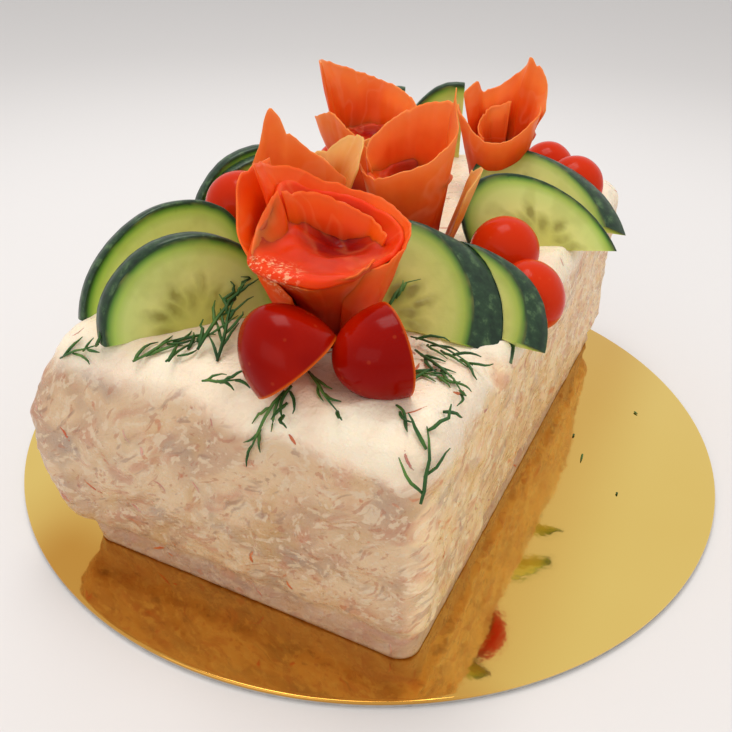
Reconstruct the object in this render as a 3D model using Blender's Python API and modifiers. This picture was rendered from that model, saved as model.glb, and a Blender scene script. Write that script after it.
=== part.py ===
"""A sandwich cake: a cream-coated loaf on a round gold card, dressed with salmon roses,
cucumber slices, halved cherry tomatoes and dill.

Metres, +Z up. The origin is the middle of the card's underside. The loaf's long side runs
along Y, and its short front face looks towards -Y.
"""
import math
import random

import bmesh
import bpy
from mathutils import Matrix, Vector, noise
from mathutils.bvhtree import BVHTree

MM = 0.001

# Driving dimensions
CARD_RADIUS = 130 * MM
CARD_THICKNESS = 2.4 * MM
CARD_SEGMENTS = 120
LOAF_WIDTH = 113 * MM
LOAF_LENGTH = 211 * MM
LOAF_HEIGHT = 76.5 * MM
LOAF_CENTRE = Vector((8.4 * MM, 2.0 * MM, CARD_THICKNESS))
LOAF_EDGE = 8.5 * MM
CREAM_BELLY = 10.5 * MM
FOOT_INSET = 2.2 * MM
FOOT_HEIGHT = 9 * MM
CREAM_RELIEF = 1.1 * MM
CREAM_LUMPS_PER_METRE = 32.0
CREAM_STREAKS_PER_METRE = Vector((26.0, 26.0, 75.0))
CREAM_GRID = 7.6 * MM
GAP = 0.3 * MM
TRIM_GAP = 0.36 * MM
MERGE_DISTANCE = 0.001 * MM
SALMON_THICKNESS = 1.9 * MM

CARD_TOP = CARD_THICKNESS
CREAM_TOP = CARD_TOP + LOAF_HEIGHT

# Directions on the roses are counted from the side that faces right when the cake is seen
# from its front corner.
FRONT_CORNER_TURN = 27.0

# Each rose: its place on the cream and its sheets of salmon. A sheet is the base radius, how
# late it flares out, and its rim as (direction in degrees, radius, height) points, in mm.
ROSES = {
    "rose_front": ((20, -67), (
        (9, 1.6, ((-80, 17, 24), (-40, 19, 27), (0, 19, 30), (45, 18, 32),
                  (90, 18, 35), (135, 19, 41), (178, 19, 46))),
        (8, 2.6, ((168, 15, 38), (200, 19, 31), (225, 24, 27), (252, 24, 25),
                  (275, 21, 26), (305, 17, 28))),
        (11, 1.2, ((140, 21, 43), (170, 23, 41), (195, 24, 33), (218, 22, 25), (240, 19, 18))),
        (5, 1.3, ((160, 12, 37), (110, 10, 33), (60, 10, 30), (20, 12, 28))),
    )),
    "rose_left": ((-15, -33), (
        (7, 1.3, ((205, 13, 26), (228, 12, 36), (250, 10, 50), (285, 12, 43),
                  (320, 14, 36), (355, 16, 27))),
        (7, 1.2, ((10, 15, 26), (50, 15, 30), (95, 15, 28), (140, 14, 26), (190, 14, 24))),
        (12, 1.5, ((0, 21, 30), (25, 24, 37), (50, 22, 34), (75, 20, 28))),
    )),
    "rose_back_left": ((-19, 33), (
        (8, 1.4, ((198, 19, 51), (160, 17, 49), (120, 16, 45), (80, 16, 41), (40, 16, 37),
                  (5, 16, 33), (-35, 15, 26))),
        (8, 1.2, ((150, 21, 27), (180, 20, 31), (210, 16, 34), (235, 15, 30), (265, 16, 24))),
        (6, 1.6, ((240, 12, 24), (275, 12, 27), (310, 13, 25))),
    )),
    "rose_middle": ((15, -6), (
        (8, 1.3, ((178, 16, 29), (220, 17, 28), (258, 17, 32), (292, 16, 37), (325, 14, 44),
                  (356, 11, 53))),
        (6, 1.3, ((20, 12, 47), (60, 13, 46), (100, 14, 42), (140, 14, 36), (180, 14, 30))),
        (12, 1.4, ((-30, 21, 22), (-5, 25, 28), (20, 24, 25))),
    )),
    "rose_back_right": ((20, 68), (
        (8, 1.2, ((175, 17, 33), (205, 17, 30), (232, 17, 25), (256, 17, 23), (282, 16, 26),
                  (308, 15, 31), (335, 14, 34))),
        (7, 1.4, ((172, 15, 37), (145, 12, 40), (105, 13, 36), (65, 13, 42), (35, 11, 49),
                  (5, 14, 45), (-25, 15, 33))),
        (4, 1.3, ((60, 8, 33), (110, 8, 30), (170, 8, 27), (220, 9, 22))),
    )),
}
ROSE_COLUMN_ANGLE = 21
ROSE_ROWS = 4
ROSE_SINK = 2.5
ROSE_FOOT_RADIUS = 11 * MM
ROSE_HEART_RADIUS = 7 * MM
ROSE_PLUG_HEIGHT = 17 * MM

# Each cucumber slice: middle of its cut edge (mm, height above the cream), direction of the
# cut edge and its rise in degrees, how far it leans back, then in mm half width, height,
# how far the top leans along the cut edge, thickness, and how far the slanting cut carries
# the far face along.
SLICES = {
    "cucumber_left_outer": ((-33.1, -70.1, 0.9), 66.0, 0.6, 12.0, 27.1, 24.4, 6.6, 4.1, 0.0),
    "cucumber_left_inner": ((-13.1, -84.2, 0.9), 53.8, -1.3, 4.8, 24.8, 25.1, 0.0, 4.5, -1.0),
    "cucumber_right_inner": ((29.2, -58.1, 2.6), 15.0, -9.4, 50.7, 26.7, 31.6, 0.0, 5.6, 12.8),
    "cucumber_right_outer": ((43.0, -47.2, 0.8), 9.6, -4.5, 50.5, 25.4, 25.7, 0.0, 4.5, 5.9),
    "cucumber_back_lower": ((54.6, 17.3, 0.9), 30.0, -1.0, 22.0, 25.2, 23.9, -13.2, 4.7, 0.5),
    "cucumber_back_upper": ((44.0, 45.8, 0.9), 8.0, 0.0, 45.0, 25.6, 25.9, -12.2, 4.9, 7.1),
    "cucumber_side_lower": ((-39.6, -6.8, 0.9), 61.0, 0.0, 0.0, 25.4, 22.3, 0.0, 4.2, 0.0),
    "cucumber_side_upper": ((-43.6, -4.6, 0.9), 61.0, 0.0, 0.0, 26.0, 24.3, 0.0, 4.2, 0.0),
}
SLICE_SINK = 1.4 * MM
SLICE_SEGMENTS = 44

# The two slices at the back stand on the cream with their cut edge upright: foot of the cut
# edge, direction of the face and size in mm.
UPRIGHT_SLICES = {
    "cucumber_far_left": ((-29.5, 79.0), 24.0, 24.0, 32.0),
    "cucumber_far_right": ((-9.5, 96.0), 24.0, 24.0, 33.0),
}
UPRIGHT_THICKNESS = 4.2 * MM
# How far each slice goes on past the middle of the cucumber, as a part of its half width.
UPRIGHT_BELOW = 0.1
UPRIGHT_BESIDE = 0.12

# Each tomato half: middle of its widest ring (mm, height above the cream), the way its dome
# points, radius, depth of the dome, and how far it goes on past the ring to its cut face.
TOMATOES = {
    "tomato_front_left": ((25.6, -95.6, 5.6), (-0.635, -0.113, 0.76), 12.0, 17.0, 0.0),
    "tomato_front_right": ((45.8, -83.8, 9.8), (-0.657, -0.746, -0.103), 11.9, 15.5, 0.0),
    "tomato_right_upper": ((46.8, -2.2, 4.5), (0.1, -0.2, 0.97), 11.2, 11.5, 5.5),
    "tomato_right_lower": ((61.5, -18.0, -0.5), (0.779, 0.2, 0.59), 11.2, 9.5, 1.5),
    "tomato_back_front": ((49.5, 78.0, 3.5), (0.15, -0.2, 0.96), 11.5, 11.5, 5.0),
    "tomato_back_rear": ((33.5, 96.0, 2.5), (0.1, -0.1, 0.98), 11.0, 11.5, 4.0),
    "tomato_left_front": ((-37.8, -26.5, 12.0), (-0.25, -0.1, 0.96), 11.8, 11.5, 10.5),
    "tomato_left_rear": ((-41.5, 52.0, 1.0), (-0.3, 0.1, 0.95), 11.2, 13.0, 2.0),
}

# Sprigs of dill lying on the cream: (from, to) in mm, and how many needles each has.
SPRIGS = (
    ((-27, -99), (-37, -111), 5),
    ((4, -88), (-16, -102), 8),
    ((-3, -86), (-12, -100), 5),
    ((9, -80), (4, -96), 7),
    ((6, -95), (4, -106), 4),
    ((13, -103), (10, -109), 4),
    ((22, -106), (18, -114), 6),
    ((31, -103), (37, -110), 5),
    ((55, -70), (59, -84), 7),
    ((60, -76), (68, -88), 5),
    ((58, -85), (66, -97), 6),
    ((57, -99), (66, -112), 7),
    ((66, -106), (72, -106), 5),
    ((-36, 84), (-24, 97), 6),
    ((22, 95), (8, 102), 5),
    ((-52, 22), (-44, 34), 5),
)
SPRIG_CLEARANCE = 1.0 * MM
SPRIG_BEND = 1.5 * MM
# Where along a sprig its stem bends, and the stem's height above the cream (mm) at its root,
# at the bend and at its tip. The root is sunk into the cream.
STEM_BEND_AT = 0.45
STEM_HEIGHTS = (-0.5, 1.3, 1.0)
NEEDLE_RADIUS = 0.55 * MM
NEEDLE_TAPER = 0.75
NEEDLE_LENGTHS = (5.5 * MM, 9.5 * MM)
NEEDLE_RISE = (0.2, 2.2)


def remove_everything():
    for old in list(bpy.data.objects):
        bpy.data.objects.remove(old, do_unlink=True)


def new_collection(name):
    collection = bpy.data.collections.new(name)
    bpy.context.scene.collection.children.link(collection)
    return collection


def food_material(name, colour, roughness, metallic=0.0):
    material = bpy.data.materials.new(name)
    material.use_nodes = True
    shader = material.node_tree.nodes["Principled BSDF"]
    shader.inputs["Base Color"].default_value = (*colour, 1.0)
    shader.inputs["Roughness"].default_value = roughness
    shader.inputs["Metallic"].default_value = metallic
    return material


def object_from_bmesh(name, bm, material, collection):
    bmesh.ops.recalc_face_normals(bm, faces=bm.faces)
    mesh = bpy.data.meshes.new(name)
    bm.to_mesh(mesh)
    bm.free()
    mesh.materials.append(material)
    thing = bpy.data.objects.new(name, mesh)
    collection.objects.link(thing)
    return thing


def apply_modifiers(thing):
    """Turn the evaluated shape of an object into its own mesh."""
    depsgraph = bpy.context.evaluated_depsgraph_get()
    finished = bpy.data.meshes.new_from_object(thing.evaluated_get(depsgraph))
    thing.modifiers.clear()
    thing.data = finished


def guide_only(thing):
    thing.hide_render = True
    thing.display_type = "WIRE"


def grown_copy(thing, distance, collection):
    """A cutter: the object's shape with every point moved out along its normal."""
    bm = bmesh.new()
    bm.from_mesh(thing.data)
    bm.transform(thing.matrix_world)
    bm.normal_update()
    shifts = [vert.normal * distance * vert.calc_shell_factor() for vert in bm.verts]
    for vert, shift in zip(bm.verts, shifts):
        vert.co += shift
    cutter = object_from_bmesh(thing.name + "_cutter", bm, thing.data.materials[0], collection)
    guide_only(cutter)
    return cutter


def keep_largest_body(thing):
    """Drop the loose scraps that a cut leaves beside the main body."""
    bm = bmesh.new()
    bm.from_mesh(thing.data)
    bmesh.ops.remove_doubles(bm, verts=bm.verts, dist=MERGE_DISTANCE)
    bmesh.ops.dissolve_degenerate(bm, edges=bm.edges, dist=MERGE_DISTANCE)
    unseen = set(bm.verts)
    bodies = []
    while unseen:
        body = [unseen.pop()]
        for vert in body:
            for edge in vert.link_edges:
                other = edge.other_vert(vert)
                if other in unseen:
                    unseen.remove(other)
                    body.append(other)
        bodies.append(body)
    bodies.sort(key=len)
    for body in bodies[:-1]:
        bmesh.ops.delete(bm, geom=body, context="VERTS")
    bm.to_mesh(thing.data)
    bm.free()


def volume_if_closed(mesh):
    bm = bmesh.new()
    bm.from_mesh(mesh)
    closed = all(edge.is_manifold for edge in bm.edges)
    volume = bm.calc_volume() if closed else 0.0
    bm.free()
    return volume


def cut(thing, cutter):
    """Subtract the cutter; where the exact solver fails, the manifold solver does it."""
    whole = thing.data
    volume_before = volume_if_closed(whole)
    for solver in ("EXACT", "MANIFOLD"):
        thing.data = whole
        boolean = thing.modifiers.new("Trim", "BOOLEAN")
        boolean.operation = "DIFFERENCE"
        boolean.object = cutter
        boolean.solver = solver
        apply_modifiers(thing)
        keep_largest_body(thing)
        if 0.0 < volume_if_closed(thing.data) < volume_before:
            return


def surface_tree(thing):
    bm = bmesh.new()
    bm.from_mesh(thing.data)
    bm.transform(thing.matrix_world)
    tree = BVHTree.FromBMesh(bm)
    bm.free()
    return tree


def smooth_step(low, high, value):
    t = min(1.0, max(0.0, (value - low) / (high - low)))
    return t * t * (3 - 2 * t)


def smooth_points(points, fraction):
    """The point at a fraction of the way along a smooth line through the given points."""
    spans = len(points) - 1
    place = min(fraction * spans, spans - 1e-9)
    index = int(place)
    t = place - index
    before = points[max(index - 1, 0)]
    start = points[index]
    end = points[index + 1]
    after = points[min(index + 2, spans)]
    return [0.5 * (2 * b + (c - a) * t + (2 * a - 5 * b + 4 * c - d) * t * t
                   + (3 * b - a - 3 * c + d) * t ** 3)
            for a, b, c, d in zip(before, start, end, after)]


def cream_belly(point):
    """The cream sags out over the lower half, mostly at the left front corner."""
    left = min(1.0, max(0.0, 0.5 - point.x / LOAF_WIDTH))
    front = min(1.0, max(0.0, 0.5 - point.y / LOAF_LENGTH))
    level = point.z / LOAF_HEIGHT
    swell = smooth_step(-0.25, 0.56, level) * (1 - smooth_step(0.62, 1.02, level))
    return CREAM_BELLY * swell * left ** 1.4 * front ** 1.8


def foot_inset(height):
    """The lowest slice of bread stands in a little under the cream."""
    return FOOT_INSET * (1 - smooth_step(FOOT_HEIGHT, FOOT_HEIGHT * 1.6, height))


def cream_relief(point):
    """Low lumps, and streaks that run along the faces as a spatula leaves them."""
    lumps = noise.fractal(point * CREAM_LUMPS_PER_METRE, 0.9, 2.1, 2)
    streaks = noise.noise(point * CREAM_STREAKS_PER_METRE + Vector((7, 3, 1)))
    return CREAM_RELIEF * (0.8 * lumps + 0.7 * streaks)


def loaf_point(corner, below):
    """Map a point of the unit cube to the rounded block, then shape the cream on it."""
    half = Vector((LOAF_WIDTH / 2, LOAF_LENGTH / 2, (LOAF_HEIGHT + below) / 2))
    middle = Vector((0, 0, (LOAF_HEIGHT - below) / 2))
    flat = Vector(corner[i] * half[i] for i in range(3))
    inner = Vector(max(-(half[i] - LOAF_EDGE), min(half[i] - LOAF_EDGE, flat[i])) for i in range(3))
    outward = (flat - inner).normalized()
    point = middle + inner + outward * LOAF_EDGE
    point -= Vector((outward.x, outward.y, 0)) * foot_inset(point.z)
    point -= Vector((1, 1, 0)) * cream_belly(point)
    calm = smooth_step(0, FOOT_HEIGHT, point.z)
    return point + outward * cream_relief(point) * calm


def build_loaf(material, collection):
    below = LOAF_EDGE * 1.5
    bm = bmesh.new()
    bmesh.ops.create_cube(bm, size=2.0)
    lengths = (LOAF_WIDTH, LOAF_LENGTH, LOAF_HEIGHT + below)
    for axis, length in enumerate(lengths):
        step = Vector((0, 0, 0))
        count = max(2, round(length / CREAM_GRID))
        for index in range(1, count):
            step[axis] = -1 + 2 * index / count
            normal = Vector((0, 0, 0))
            normal[axis] = 1
            bmesh.ops.bisect_plane(bm, geom=bm.verts[:] + bm.edges[:] + bm.faces[:],
                                   plane_co=step, plane_no=normal)
    for vert in bm.verts:
        vert.co = loaf_point(vert.co, below)
    bmesh.ops.bisect_plane(bm, geom=bm.verts[:] + bm.edges[:] + bm.faces[:],
                           plane_co=(0, 0, 0), plane_no=(0, 0, 1), clear_inner=True)
    rim = [edge for edge in bm.edges if edge.is_boundary]
    bmesh.ops.contextual_create(bm, geom=rim)
    bmesh.ops.translate(bm, verts=bm.verts, vec=LOAF_CENTRE + Vector((0, 0, GAP)))
    loaf = object_from_bmesh("cream_loaf", bm, material, collection)
    loaf.data.shade_smooth()
    return loaf


def build_card(material, collection):
    bm = bmesh.new()
    bmesh.ops.create_cone(bm, cap_ends=True, segments=CARD_SEGMENTS, radius1=CARD_RADIUS,
                          radius2=CARD_RADIUS, depth=CARD_THICKNESS)
    bmesh.ops.translate(bm, verts=bm.verts, vec=(0, 0, CARD_THICKNESS / 2))
    return object_from_bmesh("gold_card", bm, material, collection)


def salmon_sheet(name, grow, base_radius, flare, rim, material, collection):
    """One sheet of salmon: it stands on a narrow base and follows its rim at the top."""
    sweep = abs(rim[-1][0] - rim[0][0])
    columns = max(3, round(sweep / ROSE_COLUMN_ANGLE))
    bm = bmesh.new()
    grid = []
    for i in range(columns + 1):
        direction, radius, height = smooth_points(rim, i / columns)
        turn = math.radians(direction + FRONT_CORNER_TURN)
        if i in (0, columns):
            outward = 1 if (i == 0) == (rim[0][0] > rim[-1][0]) else -1
            turn += outward * 2 * grow / (radius * MM)
        column = []
        for j in range(ROSE_ROWS + 1):
            up = j / ROSE_ROWS
            reach = base_radius + (radius - base_radius) * up ** flare
            rise = -ROSE_SINK + (height + ROSE_SINK + grow / MM) * up
            column.append(bm.verts.new((reach * MM * math.cos(turn), reach * MM * math.sin(turn),
                                        rise * MM)))
        grid.append(column)
    for left, right in zip(grid, grid[1:]):
        for j in range(ROSE_ROWS):
            bm.faces.new((left[j], right[j], right[j + 1], left[j + 1]))
    sheet = object_from_bmesh(name, bm, material, collection)
    solid = sheet.modifiers.new("Thickness", "SOLIDIFY")
    solid.thickness = SALMON_THICKNESS + 2 * grow
    solid.offset = 0
    solid.use_even_offset = True
    apply_modifiers(sheet)
    return sheet


def fuse(base, pieces, collection):
    """Join the pieces to the base with one union, and remove them."""
    whole = base.data
    for solver in ("EXACT", "MANIFOLD"):
        base.data = whole
        union = base.modifiers.new("Fuse", "BOOLEAN")
        union.operation = "UNION"
        union.operand_type = "COLLECTION"
        union.collection = collection
        union.solver = solver
        apply_modifiers(base)
        keep_largest_body(base)
        if volume_if_closed(base.data) > 0.0:
            break
    for piece in pieces:
        bpy.data.objects.remove(piece, do_unlink=True)
    bpy.data.collections.remove(collection)


def build_rose(name, place, sheets, material, collection, grow=0.0):
    """Sheets of salmon fused round a plug that fills the foot of the rose."""
    bm = bmesh.new()
    bmesh.ops.create_cone(bm, cap_ends=True, segments=14, radius1=ROSE_FOOT_RADIUS + grow,
                          radius2=ROSE_HEART_RADIUS + grow, depth=ROSE_PLUG_HEIGHT + grow)
    bmesh.ops.translate(bm, verts=bm.verts,
                        vec=(0, 0, (ROSE_PLUG_HEIGHT + grow) / 2 - ROSE_SINK * MM))
    rose = object_from_bmesh(name, bm, material, collection)
    wraps = new_collection(name + "_sheets")
    pieces = [salmon_sheet(f"{name}_sheet_{i}", grow, *sheet, material, wraps)
              for i, sheet in enumerate(sheets)]
    fuse(rose, pieces, wraps)
    rose.data.transform(Matrix.Translation((place[0] * MM, place[1] * MM, CREAM_TOP)))
    return rose


def build_slice(name, place, heading, rise, lean, half_width, height, skew, thickness, shift,
                material, collection):
    """Half a round slice standing on its cut edge. A slanting cut makes it a sheared disc."""
    turn = math.radians(heading)
    slope = math.radians(rise)
    tilt = math.radians(lean)
    along = Vector((math.cos(turn) * math.cos(slope), math.sin(turn) * math.cos(slope),
                    math.sin(slope)))
    upright = (Vector((0, 0, 1)) - along * along.z).normalized()
    facing = along.cross(upright)
    up = upright * math.cos(tilt) - facing * math.sin(tilt)
    face = facing * math.cos(tilt) + upright * math.sin(tilt)
    bm = bmesh.new()
    bmesh.ops.create_cone(bm, cap_ends=True, segments=SLICE_SEGMENTS, radius1=1, radius2=1,
                          depth=1)
    bmesh.ops.translate(bm, verts=bm.verts, vec=(0, 0, -0.5))
    sink = SLICE_SINK / (height * MM)
    bmesh.ops.bisect_plane(bm, geom=bm.verts[:] + bm.edges[:] + bm.faces[:],
                           plane_co=(0, -sink, 0), plane_no=(0, 1, 0), clear_inner=True)
    rim = [edge for edge in bm.edges if edge.is_boundary]
    bmesh.ops.contextual_create(bm, geom=rim)
    through = face * thickness - along * shift
    frame = Matrix((along * half_width, up * height + along * skew, through)).transposed() * MM
    bm.transform(frame.to_4x4())
    centre = Vector((place[0] * MM, place[1] * MM, CREAM_TOP + place[2] * MM))
    bmesh.ops.translate(bm, verts=bm.verts, vec=centre)
    return object_from_bmesh(name, bm, material, collection)


def build_upright_slice(name, foot, heading, half_width, height, material, collection):
    """A quarter slice: it stands on one cut edge, with the other upright at its right."""
    turn = math.radians(heading)
    along = Vector((math.cos(turn), math.sin(turn), 0))
    away = Vector((-along.y, along.x, 0))
    bm = bmesh.new()
    bmesh.ops.create_cone(bm, cap_ends=True, segments=SLICE_SEGMENTS, radius1=1, radius2=1,
                          depth=1)
    planes = (((0, -UPRIGHT_BELOW, 0), (0, 1, 0)), ((UPRIGHT_BESIDE, 0, 0), (-1, 0, 0)))
    for plane_co, plane_no in planes:
        bmesh.ops.bisect_plane(bm, geom=bm.verts[:] + bm.edges[:] + bm.faces[:],
                               plane_co=plane_co, plane_no=plane_no, clear_inner=True)
        rim = [edge for edge in bm.edges if edge.is_boundary]
        bmesh.ops.contextual_create(bm, geom=rim)
    frame = Matrix((along * half_width * MM, Vector((0, 0, height * MM)),
                    -away * UPRIGHT_THICKNESS)).transposed()
    bm.transform(frame.to_4x4())
    bmesh.ops.translate(bm, verts=bm.verts, vec=(foot[0] * MM, foot[1] * MM, CREAM_TOP))
    return object_from_bmesh(name, bm, material, collection)


def build_tomato(name, place, dome, radius, depth, beyond, material, collection):
    """A halved cherry tomato: a stretched ball cut off flat."""
    bm = bmesh.new()
    bmesh.ops.create_uvsphere(bm, u_segments=16, v_segments=10, radius=1)
    bmesh.ops.bisect_plane(bm, geom=bm.verts[:] + bm.edges[:] + bm.faces[:],
                           plane_co=(0, 0, -beyond / depth), plane_no=(0, 0, 1),
                           clear_inner=True)
    rim = [edge for edge in bm.edges if edge.is_boundary]
    bmesh.ops.contextual_create(bm, geom=rim)
    for vert in bm.verts:
        vert.co = Vector((vert.co.x * radius, vert.co.y * radius, vert.co.z * depth)) * MM
    bm.transform(Vector(dome).to_track_quat("Z", "Y").to_matrix().to_4x4())
    centre = Vector((place[0] * MM, place[1] * MM, CREAM_TOP + place[2] * MM))
    bmesh.ops.translate(bm, verts=bm.verts, vec=centre)
    return object_from_bmesh(name, bm, material, collection)


def needle(points, radius, material, collection):
    """A thin three-sided stalk through the points, coming to a point at its end."""
    bm = bmesh.new()
    rings = []
    for index, point in enumerate(points):
        ahead = points[min(index + 1, len(points) - 1)] - points[max(index - 1, 0)]
        side = ahead.cross(Vector((0.1, 0.2, 1))).normalized()
        over = side.cross(ahead).normalized()
        size = radius * (1 - NEEDLE_TAPER * index / (len(points) - 1))
        rings.append([bm.verts.new(point + (side * math.cos(a) + over * math.sin(a)) * size)
                      for a in (math.radians(90 + 120 * k) for k in range(3))])
    for near, far in zip(rings, rings[1:]):
        for k in range(3):
            bm.faces.new((near[k], near[(k + 1) % 3], far[(k + 1) % 3], far[k]))
    bm.faces.new(rings[0])
    bm.faces.new(rings[-1])
    return object_from_bmesh("dill_needle", bm, material, collection)


def on_cream(tree, x, y, lift):
    """The point of the cream nearest to a place on top, raised along the cream's normal."""
    guess = Vector((x, y, CREAM_TOP - 0.5 * max(0.0, -100 * MM - y)))
    point, normal, _, _ = tree.find_nearest(guess)
    return point + normal * lift


def stem_at(stem, t):
    """The place on a bent stem at a fraction of its length, and its height above the cream."""
    if t < STEM_BEND_AT:
        near, far, part = 0, 1, t / STEM_BEND_AT
    else:
        near, far, part = 1, 2, (t - STEM_BEND_AT) / (1 - STEM_BEND_AT)
    height = STEM_HEIGHTS[near] + (STEM_HEIGHTS[far] - STEM_HEIGHTS[near]) * part
    return stem[near].lerp(stem[far], part), height


def build_dill(loaf, toppings, material):
    """Fuse sprigs of dill to the cream: a stem with needles to both sides of it."""
    rng = random.Random(5)
    cream = surface_tree(loaf)
    others = [surface_tree(topping) for topping in toppings]
    sprigs = new_collection("dill_sprigs")
    pieces = []

    def is_clear(points):
        for tree in others:
            for point in points:
                nearest = tree.find_nearest(point)
                if nearest[3] < SPRIG_CLEARANCE + NEEDLE_RADIUS:
                    return False
        return True

    def add(line, lifts):
        points = [on_cream(cream, x, y, lift * MM) for (x, y), lift in zip(line, lifts)]
        if is_clear(points):
            pieces.append(needle(points, NEEDLE_RADIUS, material, sprigs))
            return True
        return False

    for start, end, count in SPRIGS:
        root = Vector(start) * MM
        tip = Vector(end) * MM
        run = tip - root
        across = Vector((-run.y, run.x)).normalized()
        bend = across * rng.uniform(-1, 1) * SPRIG_BEND
        stem = [root + run * t + bend * math.sin(math.pi * t) for t in (0, STEM_BEND_AT, 1)]
        if not add(stem, STEM_HEIGHTS):
            continue
        for index in range(count):
            t = (index + 0.6) / (count + 0.4)
            side = 1 if index % 2 else -1
            length = rng.uniform(*NEEDLE_LENGTHS) * (1.05 - 0.5 * t)
            onward = run.normalized() * rng.uniform(0.6, 0.9)
            sideways = across * side * rng.uniform(0.5, 0.9)
            foot, height = stem_at(stem, t)
            point = foot + (onward + sideways).normalized() * length
            add([foot, point], (height, height + rng.uniform(*NEEDLE_RISE)))
    fuse(loaf, pieces, sprigs)


def main():
    remove_everything()
    cake = new_collection("sandwich_cake")
    cutters = new_collection("cutters")
    gold = food_material("gold foil", (0.62, 0.42, 0.12), 0.25, 1.0)
    cream = food_material("salmon cream", (0.82, 0.66, 0.54), 0.6)
    salmon = food_material("cold-smoked salmon", (0.72, 0.14, 0.04), 0.35)
    cucumber = food_material("cucumber", (0.52, 0.62, 0.24), 0.35)
    tomato = food_material("cherry tomato", (0.55, 0.03, 0.01), 0.2)

    build_card(gold, cake)
    loaf = build_loaf(cream, cake)
    trims = [grown_copy(loaf, TRIM_GAP, cutters)]
    toppings = []

    def seat(topping, cutter=None):
        """Trim a topping by the cream and by the toppings that it would run into."""
        cutter = cutter or grown_copy(topping, TRIM_GAP, cutters)
        own = surface_tree(topping)
        for trim in trims:
            if own.overlap(surface_tree(trim)):
                cut(topping, trim)
        toppings.append(topping)
        trims.append(cutter)

    for name, (place, sheets) in ROSES.items():
        cutter = build_rose(name + "_cutter", place, sheets, salmon, cutters, TRIM_GAP)
        guide_only(cutter)
        seat(build_rose(name, place, sheets, salmon, cake), cutter)
    for name, values in TOMATOES.items():
        seat(build_tomato(name, *values, tomato, cake))
    for name, values in SLICES.items():
        seat(build_slice(name, *values, cucumber, cake))
    for name, values in UPRIGHT_SLICES.items():
        seat(build_upright_slice(name, *values, cucumber, cake))
    build_dill(loaf, toppings, cream)
    for topping in toppings:
        topping.data.shade_smooth()
        topping.data.set_sharp_from_angle(angle=math.radians(40))


main()
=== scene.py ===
"""The looks of the sandwich cake: hand-spread cream, salmon roses, cucumber, tomatoes, dill and
a gold card. Metres, +Z up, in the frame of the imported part. Sizes named _MM are millimetres.
"""
import math
import random

import bmesh
import bpy
from mathutils import Matrix, Vector, noise
from mathutils.bvhtree import BVHTree


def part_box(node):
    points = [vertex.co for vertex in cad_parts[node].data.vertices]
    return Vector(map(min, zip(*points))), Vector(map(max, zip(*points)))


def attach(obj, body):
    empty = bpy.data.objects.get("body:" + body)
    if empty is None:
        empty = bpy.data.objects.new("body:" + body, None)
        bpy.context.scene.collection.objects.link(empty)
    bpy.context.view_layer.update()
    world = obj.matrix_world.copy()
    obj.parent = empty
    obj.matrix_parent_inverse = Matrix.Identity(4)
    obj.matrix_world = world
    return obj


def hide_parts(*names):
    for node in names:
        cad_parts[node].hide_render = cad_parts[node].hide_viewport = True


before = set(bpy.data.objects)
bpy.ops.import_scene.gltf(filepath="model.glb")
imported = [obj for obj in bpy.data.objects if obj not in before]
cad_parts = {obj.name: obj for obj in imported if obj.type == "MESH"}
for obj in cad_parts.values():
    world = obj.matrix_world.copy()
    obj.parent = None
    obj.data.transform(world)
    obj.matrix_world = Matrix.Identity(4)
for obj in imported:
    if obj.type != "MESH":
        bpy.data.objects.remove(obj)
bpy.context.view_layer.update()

MM = 0.001
UP = Vector((0, 0, 1))

# The card and the block of cream, as in the part
_, CARD_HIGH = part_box("gold_card")
CARD_RADIUS = CARD_HIGH.x
CARD_TOP = CARD_HIGH.z
LOAF_WIDTH = 113 * MM
LOAF_LENGTH = 211 * MM
LOAF_HEIGHT = 76.5 * MM
LOAF_CENTRE = Vector((8.4 * MM, 2.0 * MM, CARD_TOP))
LOAF_EDGE = 8.5 * MM
CREAM_TOP = CARD_TOP + LOAF_HEIGHT
CREAM_BELLY = 10.5 * MM
FOOT_INSET = 2.2 * MM
FOOT_HEIGHT = 9 * MM
CREAM_RELIEF = 1.1 * MM
CREAM_LUMPS_PER_METRE = 32.0
CREAM_STREAKS_PER_METRE = Vector((26.0, 26.0, 75.0))
CREAM_GRID = 1.15 * MM
REST_GAP = 0.3 * MM
TRIM_GAP = 0.2 * MM

# The camera stands where the photograph was taken: heights and distances in card radii
CAMERA_ABOVE_CARD = 1.395
CAMERA_FROM_MIDDLE = 1.970
CAMERA_TURN = 25.5
CAMERA_YAW = -0.54
CAMERA_PITCH = 31.84
CAMERA_ROLL = 1.5
PHOTO_SIDE = 732
FOCAL_PIXELS = 780
SENSOR_MM = 36

# Directions on the roses are counted from the side that faces right when the cake is seen
# from its front corner.
FRONT_CORNER_TURN = 27.0

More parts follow.
